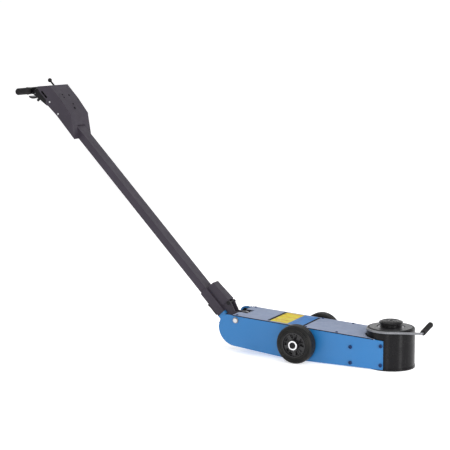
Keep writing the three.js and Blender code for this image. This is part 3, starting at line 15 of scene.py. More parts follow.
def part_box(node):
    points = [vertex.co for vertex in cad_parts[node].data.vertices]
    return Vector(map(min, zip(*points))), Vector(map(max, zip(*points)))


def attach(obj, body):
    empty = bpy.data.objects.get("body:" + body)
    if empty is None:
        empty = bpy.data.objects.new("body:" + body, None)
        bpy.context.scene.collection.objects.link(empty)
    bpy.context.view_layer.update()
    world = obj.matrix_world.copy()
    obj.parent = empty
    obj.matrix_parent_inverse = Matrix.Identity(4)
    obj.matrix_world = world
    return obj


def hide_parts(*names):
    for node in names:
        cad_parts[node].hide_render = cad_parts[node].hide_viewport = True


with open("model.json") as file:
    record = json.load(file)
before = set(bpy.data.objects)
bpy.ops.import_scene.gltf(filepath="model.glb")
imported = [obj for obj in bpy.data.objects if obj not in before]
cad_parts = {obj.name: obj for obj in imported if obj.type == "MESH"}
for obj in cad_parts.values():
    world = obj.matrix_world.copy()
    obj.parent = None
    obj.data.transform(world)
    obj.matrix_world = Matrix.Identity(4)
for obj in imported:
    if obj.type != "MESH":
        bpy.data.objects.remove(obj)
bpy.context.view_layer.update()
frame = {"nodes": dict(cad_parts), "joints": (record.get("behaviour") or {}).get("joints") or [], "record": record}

nodes = frame["nodes"]
joints = {joint["name"]: joint for joint in frame["joints"]}
scene = bpy.context.scene

MM = 0.001
TAU = 2 * math.pi
SIDES = (("near", -1), ("far", 1))

# ------------------------------------------------------------------- camera
VIEW_AZIMUTH = math.radians(27.438)
VIEW_ELEVATION = math.radians(8.573)
VIEW_ROLL = math.radians(-0.179)
VIEW_AIM = Vector((-0.6156, 0, 0.42974))
VIEW_DISTANCE = 4.8
VIEW_LENS = 110.68


def add_camera():
    back = Vector((
        math.sin(VIEW_AZIMUTH) * math.cos(VIEW_ELEVATION),
        -math.cos(VIEW_AZIMUTH) * math.cos(VIEW_ELEVATION),
        math.sin(VIEW_ELEVATION),
    ))
    right = Vector((math.cos(VIEW_AZIMUTH), math.sin(VIEW_AZIMUTH), 0))
    up = back.cross(right)
    side = right * math.cos(VIEW_ROLL) + up * math.sin(VIEW_ROLL)
    top = up * math.cos(VIEW_ROLL) - right * math.sin(VIEW_ROLL)
    data = bpy.data.cameras.new("view")
    data.sensor_width = 36
    data.lens = VIEW_LENS
    data.clip_end = 100
    camera = bpy.data.objects.new("view", data)
    place = Matrix((side, top, back)).transposed().to_4x4()
    place.translation = VIEW_AIM + back * VIEW_DISTANCE
    camera.matrix_world = place
    scene.collection.objects.link(camera)
    scene.camera = camera


add_camera()

# ---------------------------------------------------------------- materials
# A mix node has one set of sockets for each kind of data: these are the colours'.
MIX_FACTOR, MIX_A, MIX_B, MIX_RESULT = 0, 6, 7, 2
DUST = (168, 162, 152)
FINE_RELIEF = 0.6 * MM
FILM_RELIEF = 0.5 * MM


def srgb(r, g, b):
    def linear(v):
        v /= 255
        return v / 12.92 if v <= 0.04045 else ((v + 0.055) / 1.055) ** 2.4
    return linear(r), linear(g), linear(b), 1.0


def shade(color, factor):
    return tuple(min(1.0, v * factor) for v in color[:3]) + (1.0,)


class Maker:
    """Adds and links shader nodes in one material."""

    def __init__(self, name):
        self.material = bpy.data.materials.new(name)
        self.material.use_nodes = True
        self.tree = self.material.node_tree
        self.tree.nodes.clear()
        out = self.node("ShaderNodeOutputMaterial")
        self.shader = self.node("ShaderNodeBsdfPrincipled")
        self.link(self.shader, "BSDF", out, "Surface")
        self.coord = self.node("ShaderNodeTexCoord")

    def node(self, kind, **values):
        made = self.tree.nodes.new(kind)
        for key, value in values.items():
            setattr(made, key, value)
        return made

    def link(self, a, out, b, into):
        self.tree.links.new(a.outputs[out], b.inputs[into])

    def noise(self, scale, detail, roughness=0.55, stretch=None):
        made = self.node("ShaderNodeTexNoise")
        made.inputs["Scale"].default_value = scale
        made.inputs["Detail"].default_value = detail
        made.inputs["Roughness"].default_value = roughness
        if stretch is None:
            self.link(self.coord, "Object", made, "Vector")
        else:
            place = self.node("ShaderNodeMapping")
            place.inputs["Scale"].default_value = stretch
            self.link(self.coord, "Object", place, "Vector")
            self.link(place, "Vector", made, "Vector")
        return made

    def spread(self, source, low, high, out="Fac", start=0.3, end=0.7):
        """Takes a value that runs from start to end to one from low to high."""
        made = self.node("ShaderNodeMapRange")
        made.inputs["From Min"].default_value = start
        made.inputs["From Max"].default_value = end
        made.inputs["To Min"].default_value = low
        made.inputs["To Max"].default_value = high
        self.link(source, out, made, "Value")
        return made

    def mix(self, factor, a, b, out="Result"):
        """Mixes two colours. Each is four numbers or another mix."""
        made = self.node("ShaderNodeMix", data_type="RGBA")
        self.link(factor, out, made, MIX_FACTOR)
        for socket, value in ((MIX_A, a), (MIX_B, b)):
            if isinstance(value, tuple):
                made.inputs[socket].default_value = value
            else:
                self.link(value, MIX_RESULT, made, socket)
        return made

    def paint(self, color):
        self.link(color, MIX_RESULT, self.shader, "Base Color")

    def relief(self, source, strength, distance):
        bump = self.node("ShaderNodeBump")
        bump.inputs["Strength"].default_value = strength
        bump.inputs["Distance"].default_value = distance
        self.link(source, "Fac", bump, "Height")
        self.link(bump, "Normal", self.shader, "Normal")

    def fix(self, values):
        """Sets what is the same all over the surface."""
        for name, value in values.items():
            self.shader.inputs[name].default_value = value


def surface(name, color, rough, metal=0.0, vary=0.12, broad=5.0, grain=900.0, bump=0.08,
            wear=None, wear_level=0.66, coat=0.0, specular=0.5, brushed=None, dust=0.0):
    """A worn surface: broad patches, a fine grain that is brushed or not, chips and a film of dust."""
    m = Maker(name)
    color = srgb(*color)
    patch = m.noise(broad, 4.0)
    base = m.mix(m.spread(patch, 0.0, 1.0), shade(color, 1 - vary), shade(color, 1 + vary))
    fine = m.noise(grain, 2.0) if brushed is None else m.noise(grain, 3.0, stretch=brushed)
    base = m.mix(m.spread(fine, 0.0, 0.35 * vary + 0.03), base, shade(color, 0.45))
    blotch = m.noise(broad * 7, 5.0, 0.6)
    roughness = m.spread(blotch, max(0.05, rough - 0.09), min(1.0, rough + 0.11))
    if wear is not None:
        chips = m.noise(62.0, 9.0, 0.72)
        mask = m.spread(chips, 0.0, 1.0, start=wear_level, end=wear_level + 0.04)
        base = m.mix(mask, base, srgb(*wear))
    if dust:
        film = m.noise(broad * 2.3, 6.0, 0.65)
        base = m.mix(m.spread(film, 0.0, dust, start=0.45, end=0.8), base, srgb(*DUST))
    m.paint(base)
    m.link(roughness, "Result", m.shader, "Roughness")
    m.fix({"Metallic": metal, "Specular IOR Level": specular, "Coat Weight": coat, "Coat Roughness": 0.18})
    m.relief(fine, bump, FINE_RELIEF)
    return m


def turned_surface(name, **look):
    """A surface with the fine turning marks that stretch a highlight upright."""
    m = surface(name, **look)
    around = m.node("ShaderNodeTangent", direction_type="RADIAL", axis="Z")
    m.link(around, "Tangent", m.shader, "Tangent")
    m.fix({"Anisotropic": 0.85, "Anisotropic Rotation": 0.25})
    return m


def printed_film(name, paper, ink, pitch):
    """A glossy film with plain printed bars and no lettering."""
    m = Maker(name)
    paper = srgb(*paper)
    split = m.node("ShaderNodeSeparateXYZ")
    m.link(m.coord, "Object", split, "Vector")
    wave = m.node("ShaderNodeMath", operation="PINGPONG")
    wave.inputs[1].default_value = pitch
    m.link(split, "Y", wave, 0)
    bars = m.spread(wave, 0.0, 0.8, "Value", start=pitch * 0.62, end=pitch * 0.66)
    gaps = m.spread(m.noise(38.0, 3.0), 0.0, 1.0, start=0.44, end=0.54)
    inked = m.node("ShaderNodeMath", operation="MULTIPLY")
    m.link(bars, "Result", inked, 0)
    m.link(gaps, "Result", inked, 1)
    fade = m.noise(9.0, 3.0)
    ground = m.mix(m.spread(fade, 0.0, 1.0), shade(paper, 0.9), shade(paper, 1.08))
    m.paint(m.mix(inked, ground, srgb(*ink), "Value"))
    m.link(m.spread(fade, 0.22, 0.4), "Result", m.shader, "Roughness")
    m.fix({"Specular IOR Level": 0.05})
    m.relief(m.noise(300.0, 2.0), 0.05, FILM_RELIEF)
    return m


SURFACES = {
    "blue_paint": dict(
        color=(24, 106, 166), rough=0.4, vary=0.07, broad=3.0, grain=700.0, bump=0.12,
        wear=(36, 86, 142), wear_level=0.7, coat=0.12,
    ),
    "bolt_paint": dict(
        color=(20, 48, 92), rough=0.4, vary=0.15, wear=(58, 76, 110), wear_level=0.69, specular=0.25,
    ),
    "cover_paint": dict(
        color=(132, 144, 170), rough=0.5, vary=0.08, broad=6.0, bump=0.1,
        wear=(96, 104, 122), wear_level=0.69, specular=0.2,
    ),
    "black_paint": dict(
        color=(16, 15, 18), rough=0.3, vary=0.25, broad=9.0, bump=0.12,
        wear=(44, 42, 44), wear_level=0.7, specular=0.2,
    ),
    "piston_iron": dict(
        color=(66, 66, 68), rough=0.34, metal=0.7, vary=0.2, broad=24.0, bump=0.15,
        wear=(40, 38, 38), wear_level=0.62,
    ),
    "handle_paint": dict(
        color=(56, 51, 60), rough=0.44, vary=0.12, broad=7.0, grain=1400.0, bump=0.3,
        wear=(92, 88, 90), wear_level=0.71, specular=0.22,
    ),
    "black_rubber": dict(
        color=(22, 21, 23), rough=0.6, vary=0.2, grain=1800.0, bump=0.3, specular=0.2, dust=0.06,
    ),
    "tyre_rubber": dict(
        color=(20, 20, 20), rough=0.46, vary=0.16, broad=14.0, grain=1200.0, bump=0.3,
        specular=0.2, dust=0.05,
    ),
    "rim_plastic": dict(color=(20, 19, 22), rough=0.24, vary=0.18, grain=1500.0, bump=0.16),
    "zinc": dict(
        color=(196, 196, 198), rough=0.27, metal=0.9, vary=0.1, broad=30.0,
        wear=(130, 128, 126), wear_level=0.66,
    ),
    "bright_zinc": dict(color=(238, 238, 240), rough=0.3, metal=0.35, vary=0.05, broad=40.0, bump=0.06),
    "steel": dict(
        color=(140, 140, 144), rough=0.36, metal=0.85, vary=0.14, broad=22.0, grain=260.0, bump=0.14,
        brushed=(1.0, 14.0, 1.0),
    ),
    "satin_rod": dict(
        color=(128, 129, 133), rough=0.36, metal=0.85, vary=0.12, broad=30.0, bump=0.1,
        wear=(84, 82, 80), wear_level=0.66,
    ),
    "brass": dict(color=(176, 142, 84), rough=0.32, metal=0.9, vary=0.16, broad=40.0, bump=0.1),
    # Painted shade for the dark sheets inside the plates, behind the head's slots and along the cover's seams;
    # also the real dark colour of the label borders and head fixings.
    "dark_gap": dict(color=(12, 13, 17), rough=0.75, vary=0.2, specular=0.2),
}
TURNED_SURFACES = {
    "turned_black": dict(
        color=(10, 9, 12), rough=0.3, vary=0.3, broad=7.0, wear=(24, 23, 25), wear_level=0.72,
        specular=0.2, brushed=(1.0, 1.0, 30.0),
    ),
}
FILMS = {
    "label_yellow": dict(paper=(208, 192, 0), ink=(188, 112, 4), pitch=12 * MM),
    "label_blue": dict(paper=(30, 112, 180), ink=(22, 80, 144), pitch=9 * MM),
}
MATERIALS = {
    name: make(name, **look).material
    for make, looks in ((surface, SURFACES), (turned_surface, TURNED_SURFACES), (printed_film, FILMS))
    for name, look in looks.items()
}

# ------------------------------------------------------- rounded, smooth edges
SMOOTH_BELOW = math.radians(38)
BEVEL_ABOVE = math.radians(36)
BEVEL_SEGMENTS = 2
WELD_DISTANCE = 0.01 * MM
FLAT_WITHIN = math.radians(0.8)


def smoothing_nodes():
    """Shades every edge smooth that bends less than the limit."""
    group = bpy.data.node_groups.new("smooth_by_angle", "GeometryNodeTree")
    for way in ("INPUT", "OUTPUT"):
        group.interface.new_socket("Geometry", in_out=way, socket_type="NodeSocketGeometry")
    make = group.nodes.new
    start, end = make("NodeGroupInput"), make("NodeGroupOutput")
    clear = make("GeometryNodeRemoveAttribute")
    clear.inputs["Name"].default_value = "custom_normal"
    angle = make("GeometryNodeInputMeshEdgeAngle")
    less = make("FunctionNodeCompare")
    less.operation = "LESS_THAN"
    less.inputs[1].default_value = SMOOTH_BELOW
    faces, edges = make("GeometryNodeSetShadeSmooth"), make("GeometryNodeSetShadeSmooth")
    faces.domain, edges.domain = "FACE", "EDGE"
    join = group.links.new
    join(start.outputs[0], clear.inputs[0])
    join(clear.outputs[0], faces.inputs[0])
    join(faces.outputs[0], edges.inputs[0])
    join(angle.outputs[0], less.inputs[0])
    join(less.outputs[0], edges.inputs["Shade Smooth"])
    join(edges.outputs[0], end.inputs[0])
    return group


SMOOTH = smoothing_nodes()


def join_facets(piece):
    """Makes one face of the triangles that lie in one plane."""
    piece.modifiers.new("weld", "WELD").merge_threshold = WELD_DISTANCE
    flat = piece.modifiers.new("flat", "DECIMATE")
    flat.decimate_type = "DISSOLVE"
    flat.angle_limit = FLAT_WITHIN


def round_edges(piece, width):
    if width:
        bevel = piece.modifiers.new("bevel", "BEVEL")
        bevel.width = width
        bevel.segments = BEVEL_SEGMENTS
        bevel.limit_method = "ANGLE"
        bevel.angle_limit = BEVEL_ABOVE
    piece.modifiers.new("smooth", "NODES").node_group = SMOOTH
    piece.modifiers.new("weighted", "WEIGHTED_NORMAL").keep_sharp = True


# ------------------------------------------------------------ mesh builders
def finished(bm):
    bmesh.ops.recalc_face_normals(bm, faces=bm.faces)
    return bm


def lathe(profile, steps):
    """Turns (radius, height) pairs about +Z. A radius may be a function of the angle.

    A profile that doesn't end on the axis closes on itself.
    """
    bm = bmesh.new()
    rings = []
    for radius, height in profile:
        if radius == 0:
            rings.append([bm.verts.new((0, 0, height))])
            continue
        ring = []
        for i in range(steps):
            angle = TAU * i / steps
            r = radius(angle) if callable(radius) else radius
            ring.append(bm.verts.new((r * math.cos(angle), r * math.sin(angle), height)))
        rings.append(ring)
    pairs = list(zip(rings, rings[1:]))
    if len(rings[0]) > 1 and len(rings[-1]) > 1:
        pairs.append((rings[-1], rings[0]))
    for low, high in pairs:
        for i in range(steps):
            j = (i + 1) % steps
            corners = (low[i % len(low)], low[j % len(low)], high[j % len(high)], high[i % len(high)])
            bm.faces.new(list(dict.fromkeys(corners)))
    return finished(bm)


def skin(sections):
    """A closed solid through sections that each have the same number of points."""
    bm = bmesh.new()
    rings = [[bm.verts.new(point) for point in section] for section in sections]
    for low, high in zip(rings, rings[1:]):
        for k in range(len(low)):
            m = (k + 1) % len(low)
            bm.faces.new((low[k], low[m], high[m], high[k]))
    bm.faces.new(rings[0])
    bm.faces.new(rings[-1])
    return finished(bm)


def tube(path, radius, sides):
    """A round bar along points. The radius is a function of the point's number."""
    sections = []
    normal = Vector((0, 0, 1))
    for i, here in enumerate(path):
        before, after = path[max(i - 1, 0)], path[min(i + 1, len(path) - 1)]
        along = (after - before).normalized()
        normal = (normal - along * normal.dot(along)).normalized()
        other = along.cross(normal)
        angles = [TAU * k / sides for k in range(sides)]
        sections.append([
            here + (normal * math.cos(a) + other * math.sin(a)) * radius(i) for a in angles
        ])
    return skin(sections)


def in_mm(pairs):
    """Pairs of millimetres, in metres."""
    return [(a * MM, b * MM) for a, b in pairs]


def axis_place(origin, direction):
    """Stands +Z of a piece along a direction, at an origin."""
    turn = Vector((0, 0, 1)).rotation_difference(Vector(direction).normalized())
    return Matrix.Translation(origin) @ turn.to_matrix().to_4x4()


def add_piece(name, bm, body, slot=None, finish=None, replaces=(), place=None, bevel=0.0):
    """Adds a mesh that rides on a body. A finish is a material that stands in for the slot's own."""
    mesh = bpy.data.meshes.new(name)
    if place is not None:
        bm.transform(place)
    bm.to_mesh(mesh)
    bm.free()
    piece = bpy.data.objects.new(name, mesh)
    scene.collection.objects.link(piece)
    mesh.materials.append(MATERIALS[finish or slot])
    round_edges(piece, bevel)
    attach(piece, body)
    if replaces:
        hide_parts(*replaces)


# ------------------------------------------------------- places on the object
# The handle's frame: up it, to its front, and the jack's own left.
PIVOT = Vector(joints["handle_tilt"]["pos_m"])
HANDLE_TILT = math.radians(46.3)
UP = Vector((-math.cos(HANDLE_TILT), 0, math.sin(HANDLE_TILT)))
FRONT = Vector((math.sin(HANDLE_TILT), 0, math.cos(HANDLE_TILT)))

PLATE_LOW, PLATE_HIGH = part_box("side_plate_far")
PLATE_INNER_Y, PLATE_OUTER_Y = PLATE_LOW.y, PLATE_HIGH.y
PLATE_FRONT_X = PLATE_HIGH.x
PLATE_FRONT_TOP = 99.3 * MM
PLATE_TOP_SLOPE = 0.0586
COVER_LIFT = 2.3 * MM
COVER_UP = (PLATE_TOP_SLOPE, 0, 1)
FIT_GAP = 0.3 * MM


def on_handle(u, y, n):
    """A point of the handle's frame in millimetres: up it, to the jack's left, to its front."""
    return PIVOT + UP * (u * MM) + FRONT * (n * MM) + Vector((0, y * MM, 0))


def plate_top(x):
    return PLATE_FRONT_TOP + PLATE_TOP_SLOPE * (PLATE_FRONT_X - x)


def cover_top(x):
    return plate_top(x) + COVER_LIFT


def box_middle(name):
    low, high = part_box(name)
    return (low + high) / 2


# --------------------------------------------------------------- CAD pieces
# The bevel widths, in millimetres.
EDGE_ROUND = 0.4
EDGE_ROUNDS = {
    "side_plate_near": 0.8, "side_plate_far": 0.8, "head_housing": 0.7, "grip_bracket": 0.9,
    "handle_tube": 1.6, "handle_socket": 1.0, "socket_foot": 1.2, "yoke_cover": 0.8, "pivot_yoke": 1.0,
    "bottom_plate": 0.5, "valve_block": 1.0, "pump_block": 1.5, "oil_tank": 2.0, "lift_cylinder": 0.8,
    "release_trigger": 0.9, "stop_sector": 0.6, "rim_near": 0.7, "rim_far": 0.7, "wheel_axle": 1.2,
    "pivot_pin": 1.2, "inner_ram": 0.6,
}
OTHER_FINISHES = {"wheel_axle": "black_paint", "stop_rod": "satin_rod", "lift_cylinder": "turned_black"}


def finish_cad_pieces():
    slots = {row["node"]: row["material_slot"] for row in frame["record"]["subparts"]}
    for name, node in nodes.items():
        node.data.materials.clear()
        node.data.materials.append(MATERIALS[OTHER_FINISHES.get(name, slots[name])])
        join_facets(node)
        round_edges(node, EDGE_ROUNDS.get(name, EDGE_ROUND) * MM)


# ------------------------------------------------------------------- saddle
SPIGOT_RADIUS = 18 * MM
# Each point is a radius and how far it lies below the top face. A land is flat from its outer to its
# inner radius, with a groove inside it.
SADDLE_NECK = [(18.0, 21.2), (37.8, 21.2), (35.0, 18.2), (34.7, 9.6)]
SADDLE_RIM = [(39.2, 7.9), (39.5, 7.4), (39.5, 4.4), (38.6, 3.4), (31.2, 0.4)]
SADDLE_LANDS = ((29.2, 25.8), (21.2, 18.2))
GROOVE_SLOPE = 1.0
GROOVE_WIDTH = 2.6
GROOVE_DROP = 0.9
SADDLE_DISH = [(13.6, 0), (5.4, 0), (4.2, 2.2), (0, 2.6)]


def add_saddle():
    """The turned saddle: a spigot, a neck, a rim and a top face with grooves and a centre dish."""
    low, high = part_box("saddle")
    turned = SADDLE_NECK + SADDLE_RIM
    for outer, inner in SADDLE_LANDS:
        edge = inner - GROOVE_SLOPE
        turned += [(outer, 0), (inner, 0), (edge, GROOVE_DROP), (edge - GROOVE_WIDTH, GROOVE_DROP)]
    turned += SADDLE_DISH
    profile = [(0, low.z), (SPIGOT_RADIUS, low.z)] + [(r, high.z - drop) for r, drop in in_mm(turned)]
    add_piece("saddle_turned", lathe(profile, 96), "saddle", "black_paint", replaces=["saddle"],
              bevel=0.3 * MM)


# --------------------------------------------------------------- front grip
ROD_RADIUS = 4 * MM
ROD_WRAP_RADIUS = 84.3 * MM
ROD_HEIGHT = 129 * MM
ROD_ANGLE = math.radians(21.3)
ROD_WRAP = math.radians(68)
ROD_CORNER_X = 123 * MM
ROD_BEND = 7 * MM
GRIP_ALONG = Vector((0, 83, 14)).normalized()
GRIP_DEPTH = 56 * MM
FRONT_GRIP_MOUTH = [(4.6, 0), (8.4, 0), (9.4, 1.2)]
RIB_DEPTH = 0.7


def rod_route():
    """The rod's route round the cylinder, out beside it and into the grip, and where the grip starts."""
    along = Vector((math.cos(ROD_ANGLE), math.sin(ROD_ANGLE), 0))
    leave = ROD_ANGLE - math.pi / 2

    def on_wrap(a):
        return Vector((ROD_WRAP_RADIUS * math.cos(a), ROD_WRAP_RADIUS * math.sin(a), ROD_HEIGHT))

    foot = on_wrap(leave)
    corner = foot + along * ((ROD_CORNER_X - foot.x) / along.x)
    start, end = corner - along * ROD_BEND, corner + GRIP_ALONG * ROD_BEND
    path = [on_wrap(leave - ROD_WRAP * (1 - i / 24)) for i in range(24)]
    path += [foot.lerp(start, i / 6) for i in range(6)]
    path += [start.lerp(corner, t).lerp(corner.lerp(end, t), t) for t in (i / 10 for i in range(11))]
    path += [end + GRIP_ALONG * (GRIP_DEPTH * i / 4) for i in range(1, 5)]
    return path, end


def ribbed_sleeve(mouth, radius, length, ribs, first, last):
    """A rubber sleeve: its mouth's own outline, moulded ribs from first to last, and a domed end."""
    profile = list(mouth)
    pitch = (last - first) / ribs
    for i in range(ribs):
        z = first + i * pitch
        profile += [
            (radius, z), (radius - RIB_DEPTH, z + pitch * 0.22), (radius - RIB_DEPTH, z + pitch * 0.42),
            (radius, z + pitch * 0.62),
        ]
    profile += [(radius, last), (radius, length - 3.5), (radius - 0.9, length - 1.3), (radius - 3.2, length)]
    profile += [(2.8, length), (1.8, length - 0.8), (0, length - 1)]
    return lathe(in_mm(profile), 60)


def add_front_grip():
    path, grip_start = rod_route()
    add_piece("grip_rod_bent", tube(path, lambda i: ROD_RADIUS, 28), "chassis", "zinc", "satin_rod",
              ["front_grip_rod"], bevel=0.4 * MM)
    sleeve = ribbed_sleeve(FRONT_GRIP_MOUTH, radius=9.4, length=79, ribs=14, first=6, last=68)
    add_piece("front_grip_ribbed", sleeve, "chassis", "black_rubber", replaces=["front_grip"],
              place=axis_place(grip_start, GRIP_ALONG), bevel=0.25 * MM)


# ------------------------------------------------------------------- wheels
# Each point is a radius and a distance out from the tyre's outer face, for the hub ring as well.
TYRE_SIDEWALL = [
    (42.3, -1.0), (45.4, -0.3), (46.4, -1.1), (50.6, -2.2), (51.8, -0.3), (54.2, 0.0), (55.2, -1.8),
    (56.6, -2.0), (57.8, -0.6), (60.2, -1.4), (62.4, -3.2), (63.9, -5.8), (64.7, -8.4), (65.0, -10.5),
]
TREAD_RADIUS = 65
TREAD_GROOVES = (15, 26)
GROOVE_DEPTH = 0.8
GROOVE_LIP = 0.6
GROOVE_FLOOR = 1.4
TYRE_BACK = [(65.0, -33.0), (64.5, -36.0), (63.0, -39.4), (60.5, -41.6), (57.0, -43.0), (42.3, -43.0)]
HUB_RING = [(10.6, 6.1), (14.4, 6.1), (15.6, 6.6), (15.6, 7.5), (14.9, 8.2), (11.8, 8.3), (10.6, 7.6)]
RIM_RIBS = 5
RIB_OUTLINE = [(20.0, -1.4), (36.0, -0.9), (36.0, 0.9), (20.0, 1.4)]
RIB_FLOOR = -5.4 * MM
RIB_TOP = -1.6 * MM


def tyre_profile():
    profile = list(TYRE_SIDEWALL)
    for start in TREAD_GROOVES:
        floor_start = start + GROOVE_LIP
        floor_end = floor_start + GROOVE_FLOOR
        profile += [
            (TREAD_RADIUS, -start), (TREAD_RADIUS - GROOVE_DEPTH, -floor_start),
            (TREAD_RADIUS - GROOVE_DEPTH, -floor_end), (TREAD_RADIUS, -floor_end - GROOVE_LIP),
        ]
    return in_mm(profile + TYRE_BACK)


def add_wheel(label, side):
    low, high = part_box(f"tyre_{label}")
    face = box_middle(f"tyre_{label}")
    face.y = high.y if side > 0 else low.y
    place = axis_place(face, (0, side, 0))
    wheel = f"wheel_{label}"
    add_piece(f"tyre_{label}_moulded", lathe(tyre_profile(), 120), wheel, "tyre_rubber",
              replaces=[f"tyre_{label}"], place=place, bevel=0.3 * MM)
    add_piece(f"hub_ring_{label}", lathe(in_mm(HUB_RING), 64), "chassis", "zinc", "bright_zinc",
              [f"hub_washer_{label}"], place, bevel=0.2 * MM)
    for i in range(RIM_RIBS):
        rib = skin([[(x, y, z) for x, y in in_mm(RIB_OUTLINE)] for z in (RIB_FLOOR, RIB_TOP)])
        angle = TAU * (i + 0.5) / RIM_RIBS + math.pi / 2
        turn = Matrix.Rotation(angle * side, 4, "Z")
        add_piece(f"rim_rib_{label}_{i + 1}", rib, wheel, "rim_plastic", place=place @ turn, bevel=0.5 * MM)


# --------------------------------------------------------- bolts and screws
PLATE_BOLTS = 4
# The head's screws are (up, front) in the handle's frame; the others are along X.
HEAD_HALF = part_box("head_housing")[1].y / MM
HEAD_SCREWS = ((1052.5, -51.3), (997.7, -54.7))
COVER_SCREWS = (-163, -275, -532)
COVER_SCREW_Y = 72.5 * MM
PLATE_SCREWS = (-552, -565)
PLATE_SCREW_Y = (PLATE_OUTER_Y + PLATE_INNER_Y) / 2


def socket_head(radius, height, grip):
    """A cap screw along +Z with a hexagon socket, its seat at z = 0."""
    def wrench(a):
        return radius * 0.46 / math.cos((a % (TAU / 6)) - TAU / 12)
    return lathe([
        (0, -grip), (radius * 0.6, -grip), (radius * 0.6, 0), (radius * 0.97, 0), (radius, height * 0.12),
        (radius, height * 0.55), (radius * 0.9, height * 0.82), (radius * 0.66, height * 0.98),
        (wrench, height), (wrench, height * 0.3), (0, height * 0.24),
    ], 48)


def pan_head(radius, height):
    """A low round screw head with a recess, its seat at z = 0."""
    return lathe([
        (0, 0), (radius, 0), (radius, height * 0.35), (radius * 0.82, height * 0.8), (radius * 0.45, height),
        (radius * 0.3, height), (radius * 0.22, height * 0.45), (0, height * 0.4),
    ], 36)


def add_plate_bolts(label, side):
    for i in range(1, PLATE_BOLTS + 1):
        name = f"plate_bolt_{label}_{i}"
        seat = box_middle(name)
        seat.y = side * (PLATE_OUTER_Y + FIT_GAP)
        add_piece(f"{name}_socket", socket_head(6.5 * MM, 4 * MM, 5 * MM), "chassis", "bolt_paint",
                  replaces=[name], place=axis_place(seat, (0, side, 0)), bevel=0.2 * MM)


def add_head_screws(label, side):
    for i, (u, n) in enumerate(HEAD_SCREWS):
        place = axis_place(on_handle(u, side * HEAD_HALF, n), (0, side, 0))
        add_piece(f"head_screw_{label}_{i + 1}", pan_head(3.6 * MM, 2 * MM), "handle", "zinc",
                  place=place, bevel=0.2 * MM)


def add_cover_screws(label, side):
    for i, x in enumerate(COVER_SCREWS):
        seat = Vector((x * MM, side * COVER_SCREW_Y, cover_top(x * MM)))
        add_piece(f"cover_screw_{label}_{i + 1}", pan_head(4.6 * MM, 2.6 * MM), "chassis", "bolt_paint",
                  place=axis_place(seat, COVER_UP), bevel=0.2 * MM)


def add_plate_screws(label, side):
    for i, x in enumerate(PLATE_SCREWS):
        seat = Vector((x * MM, side * PLATE_SCREW_Y, plate_top(x * MM)))
        add_piece(f"plate_screw_{label}_{i + 1}", pan_head(2.3 * MM, 1.6 * MM), "chassis", "bolt_paint",
                  place=axis_place(seat, COVER_UP), bevel=0.1 * MM)


# ---------------------------------------------------- painted shade sheets and dark marks
# Painted shade: dark sheets inside the side plates' rear ends, outlined along X and Z, with their faces' distances
# out.
SHADE_SHEET_OUTLINE = [(-604, 98), (-470, 98), (-470, 122), (-578, 127)]
SHADE_SHEET_FACES = (74.1 * MM, 74.7 * MM)
# Painted shade behind the head's side slots: the slot's middle (up, front), the sheet's half sizes and its faces.
SLOT_MIDDLE = (1049, -50.5)
SLOT_SHADE_HALVES = (21, 6)
SLOT_SHADE_FACES = (54.3, 54.9)
# Small dark fixings on the head's front face: up, left, front and radius.
HEAD_FIXINGS = (
    (1048, -24, -9.3, 3.2), (1043, 13.5, -9.35, 3.6), (1035, -26.5, -9.45, 3.0),
    (1003.5, 1.5, -12.0, 3.2), (985.5, -5.5, -13.75, 4.6), (1020, 52, -10.4, 3.6),
)
HEAD_FACE_FOLD = 1029.4
HEAD_FACE_SLOPES = (0.097, 0.011)


def add_painted_shade_sheet(label, side):
    """A dark sheet of painted shade inside a side plate's rear end, beside the handle's foot."""
    shade_sheet = skin([[(x, side * y, z) for x, z in in_mm(SHADE_SHEET_OUTLINE)] for y in SHADE_SHEET_FACES])
    add_piece(f"painted_shade_sheet_{label}", shade_sheet, "chassis", finish="dark_gap")


def add_slot_shade_sheet(label, side):
    """A dark sheet of painted shade behind the slot in the head's side wall."""
    u, n = SLOT_MIDDLE
    du, dn = SLOT_SHADE_HALVES
    corners = ((u - du, n - dn), (u + du, n - dn), (u + du, n + dn), (u - du, n + dn))
    painted_slot_shade = skin([[on_handle(a, side * y, b) for a, b in corners] for y in SLOT_SHADE_FACES])
    add_piece(f"slot_shade_sheet_{label}", painted_slot_shade, "handle", finish="dark_gap")


def add_head_fixings():
    below, above = HEAD_FACE_SLOPES
    for i, (u, y, n, radius) in enumerate(HEAD_FIXINGS):
        out = FRONT - UP * (below if u < HEAD_FACE_FOLD else above)
        add_piece(f"head_fixing_{i + 1}", pan_head(radius * MM, radius * 0.4 * MM), "handle",
                  finish="dark_gap", place=axis_place(on_handle(u, y, n), out), bevel=0.1 * MM)


# ---------------------------------------------------------- cover and labels
LABEL_HALF = 71.5 * MM
LABEL_LIFT = 0.05 * MM
FILM_THICKNESS = 0.2 * MM
BORDER_THICKNESS = 0.24 * MM
LABEL_STEPS = 8
# Where the dark strips of painted shade run along the seams between the cover and the side plates.
SEAM_SHADE_ENDS = (-545.5 * MM, -30 * MM)
SEAM_SHADE_INNER_Y = PLATE_OUTER_Y + 0.1 * MM
SEAM_SHADE_OUTER_Y = PLATE_OUTER_Y + 0.6 * MM


def bar_section(x, y0, y1, z0, z1):
    return (x, y0, z0), (x, y1, z0), (x, y1, z1), (x, y0, z1)


def add_cover_strip(name, rear, front, thickness, slot=None, finish=None):
    """A flat strip that lies across the sloping top cover. Its ends are in millimetres."""
    sections = []
    for i in range(LABEL_STEPS + 1):
        x = (rear + (front - rear) * i / LABEL_STEPS) * MM
        z = cover_top(x) + LABEL_LIFT
        sections.append(bar_section(x, -LABEL_HALF, LABEL_HALF, z, z + thickness))
    add_piece(name, skin(sections), "chassis", slot, finish)


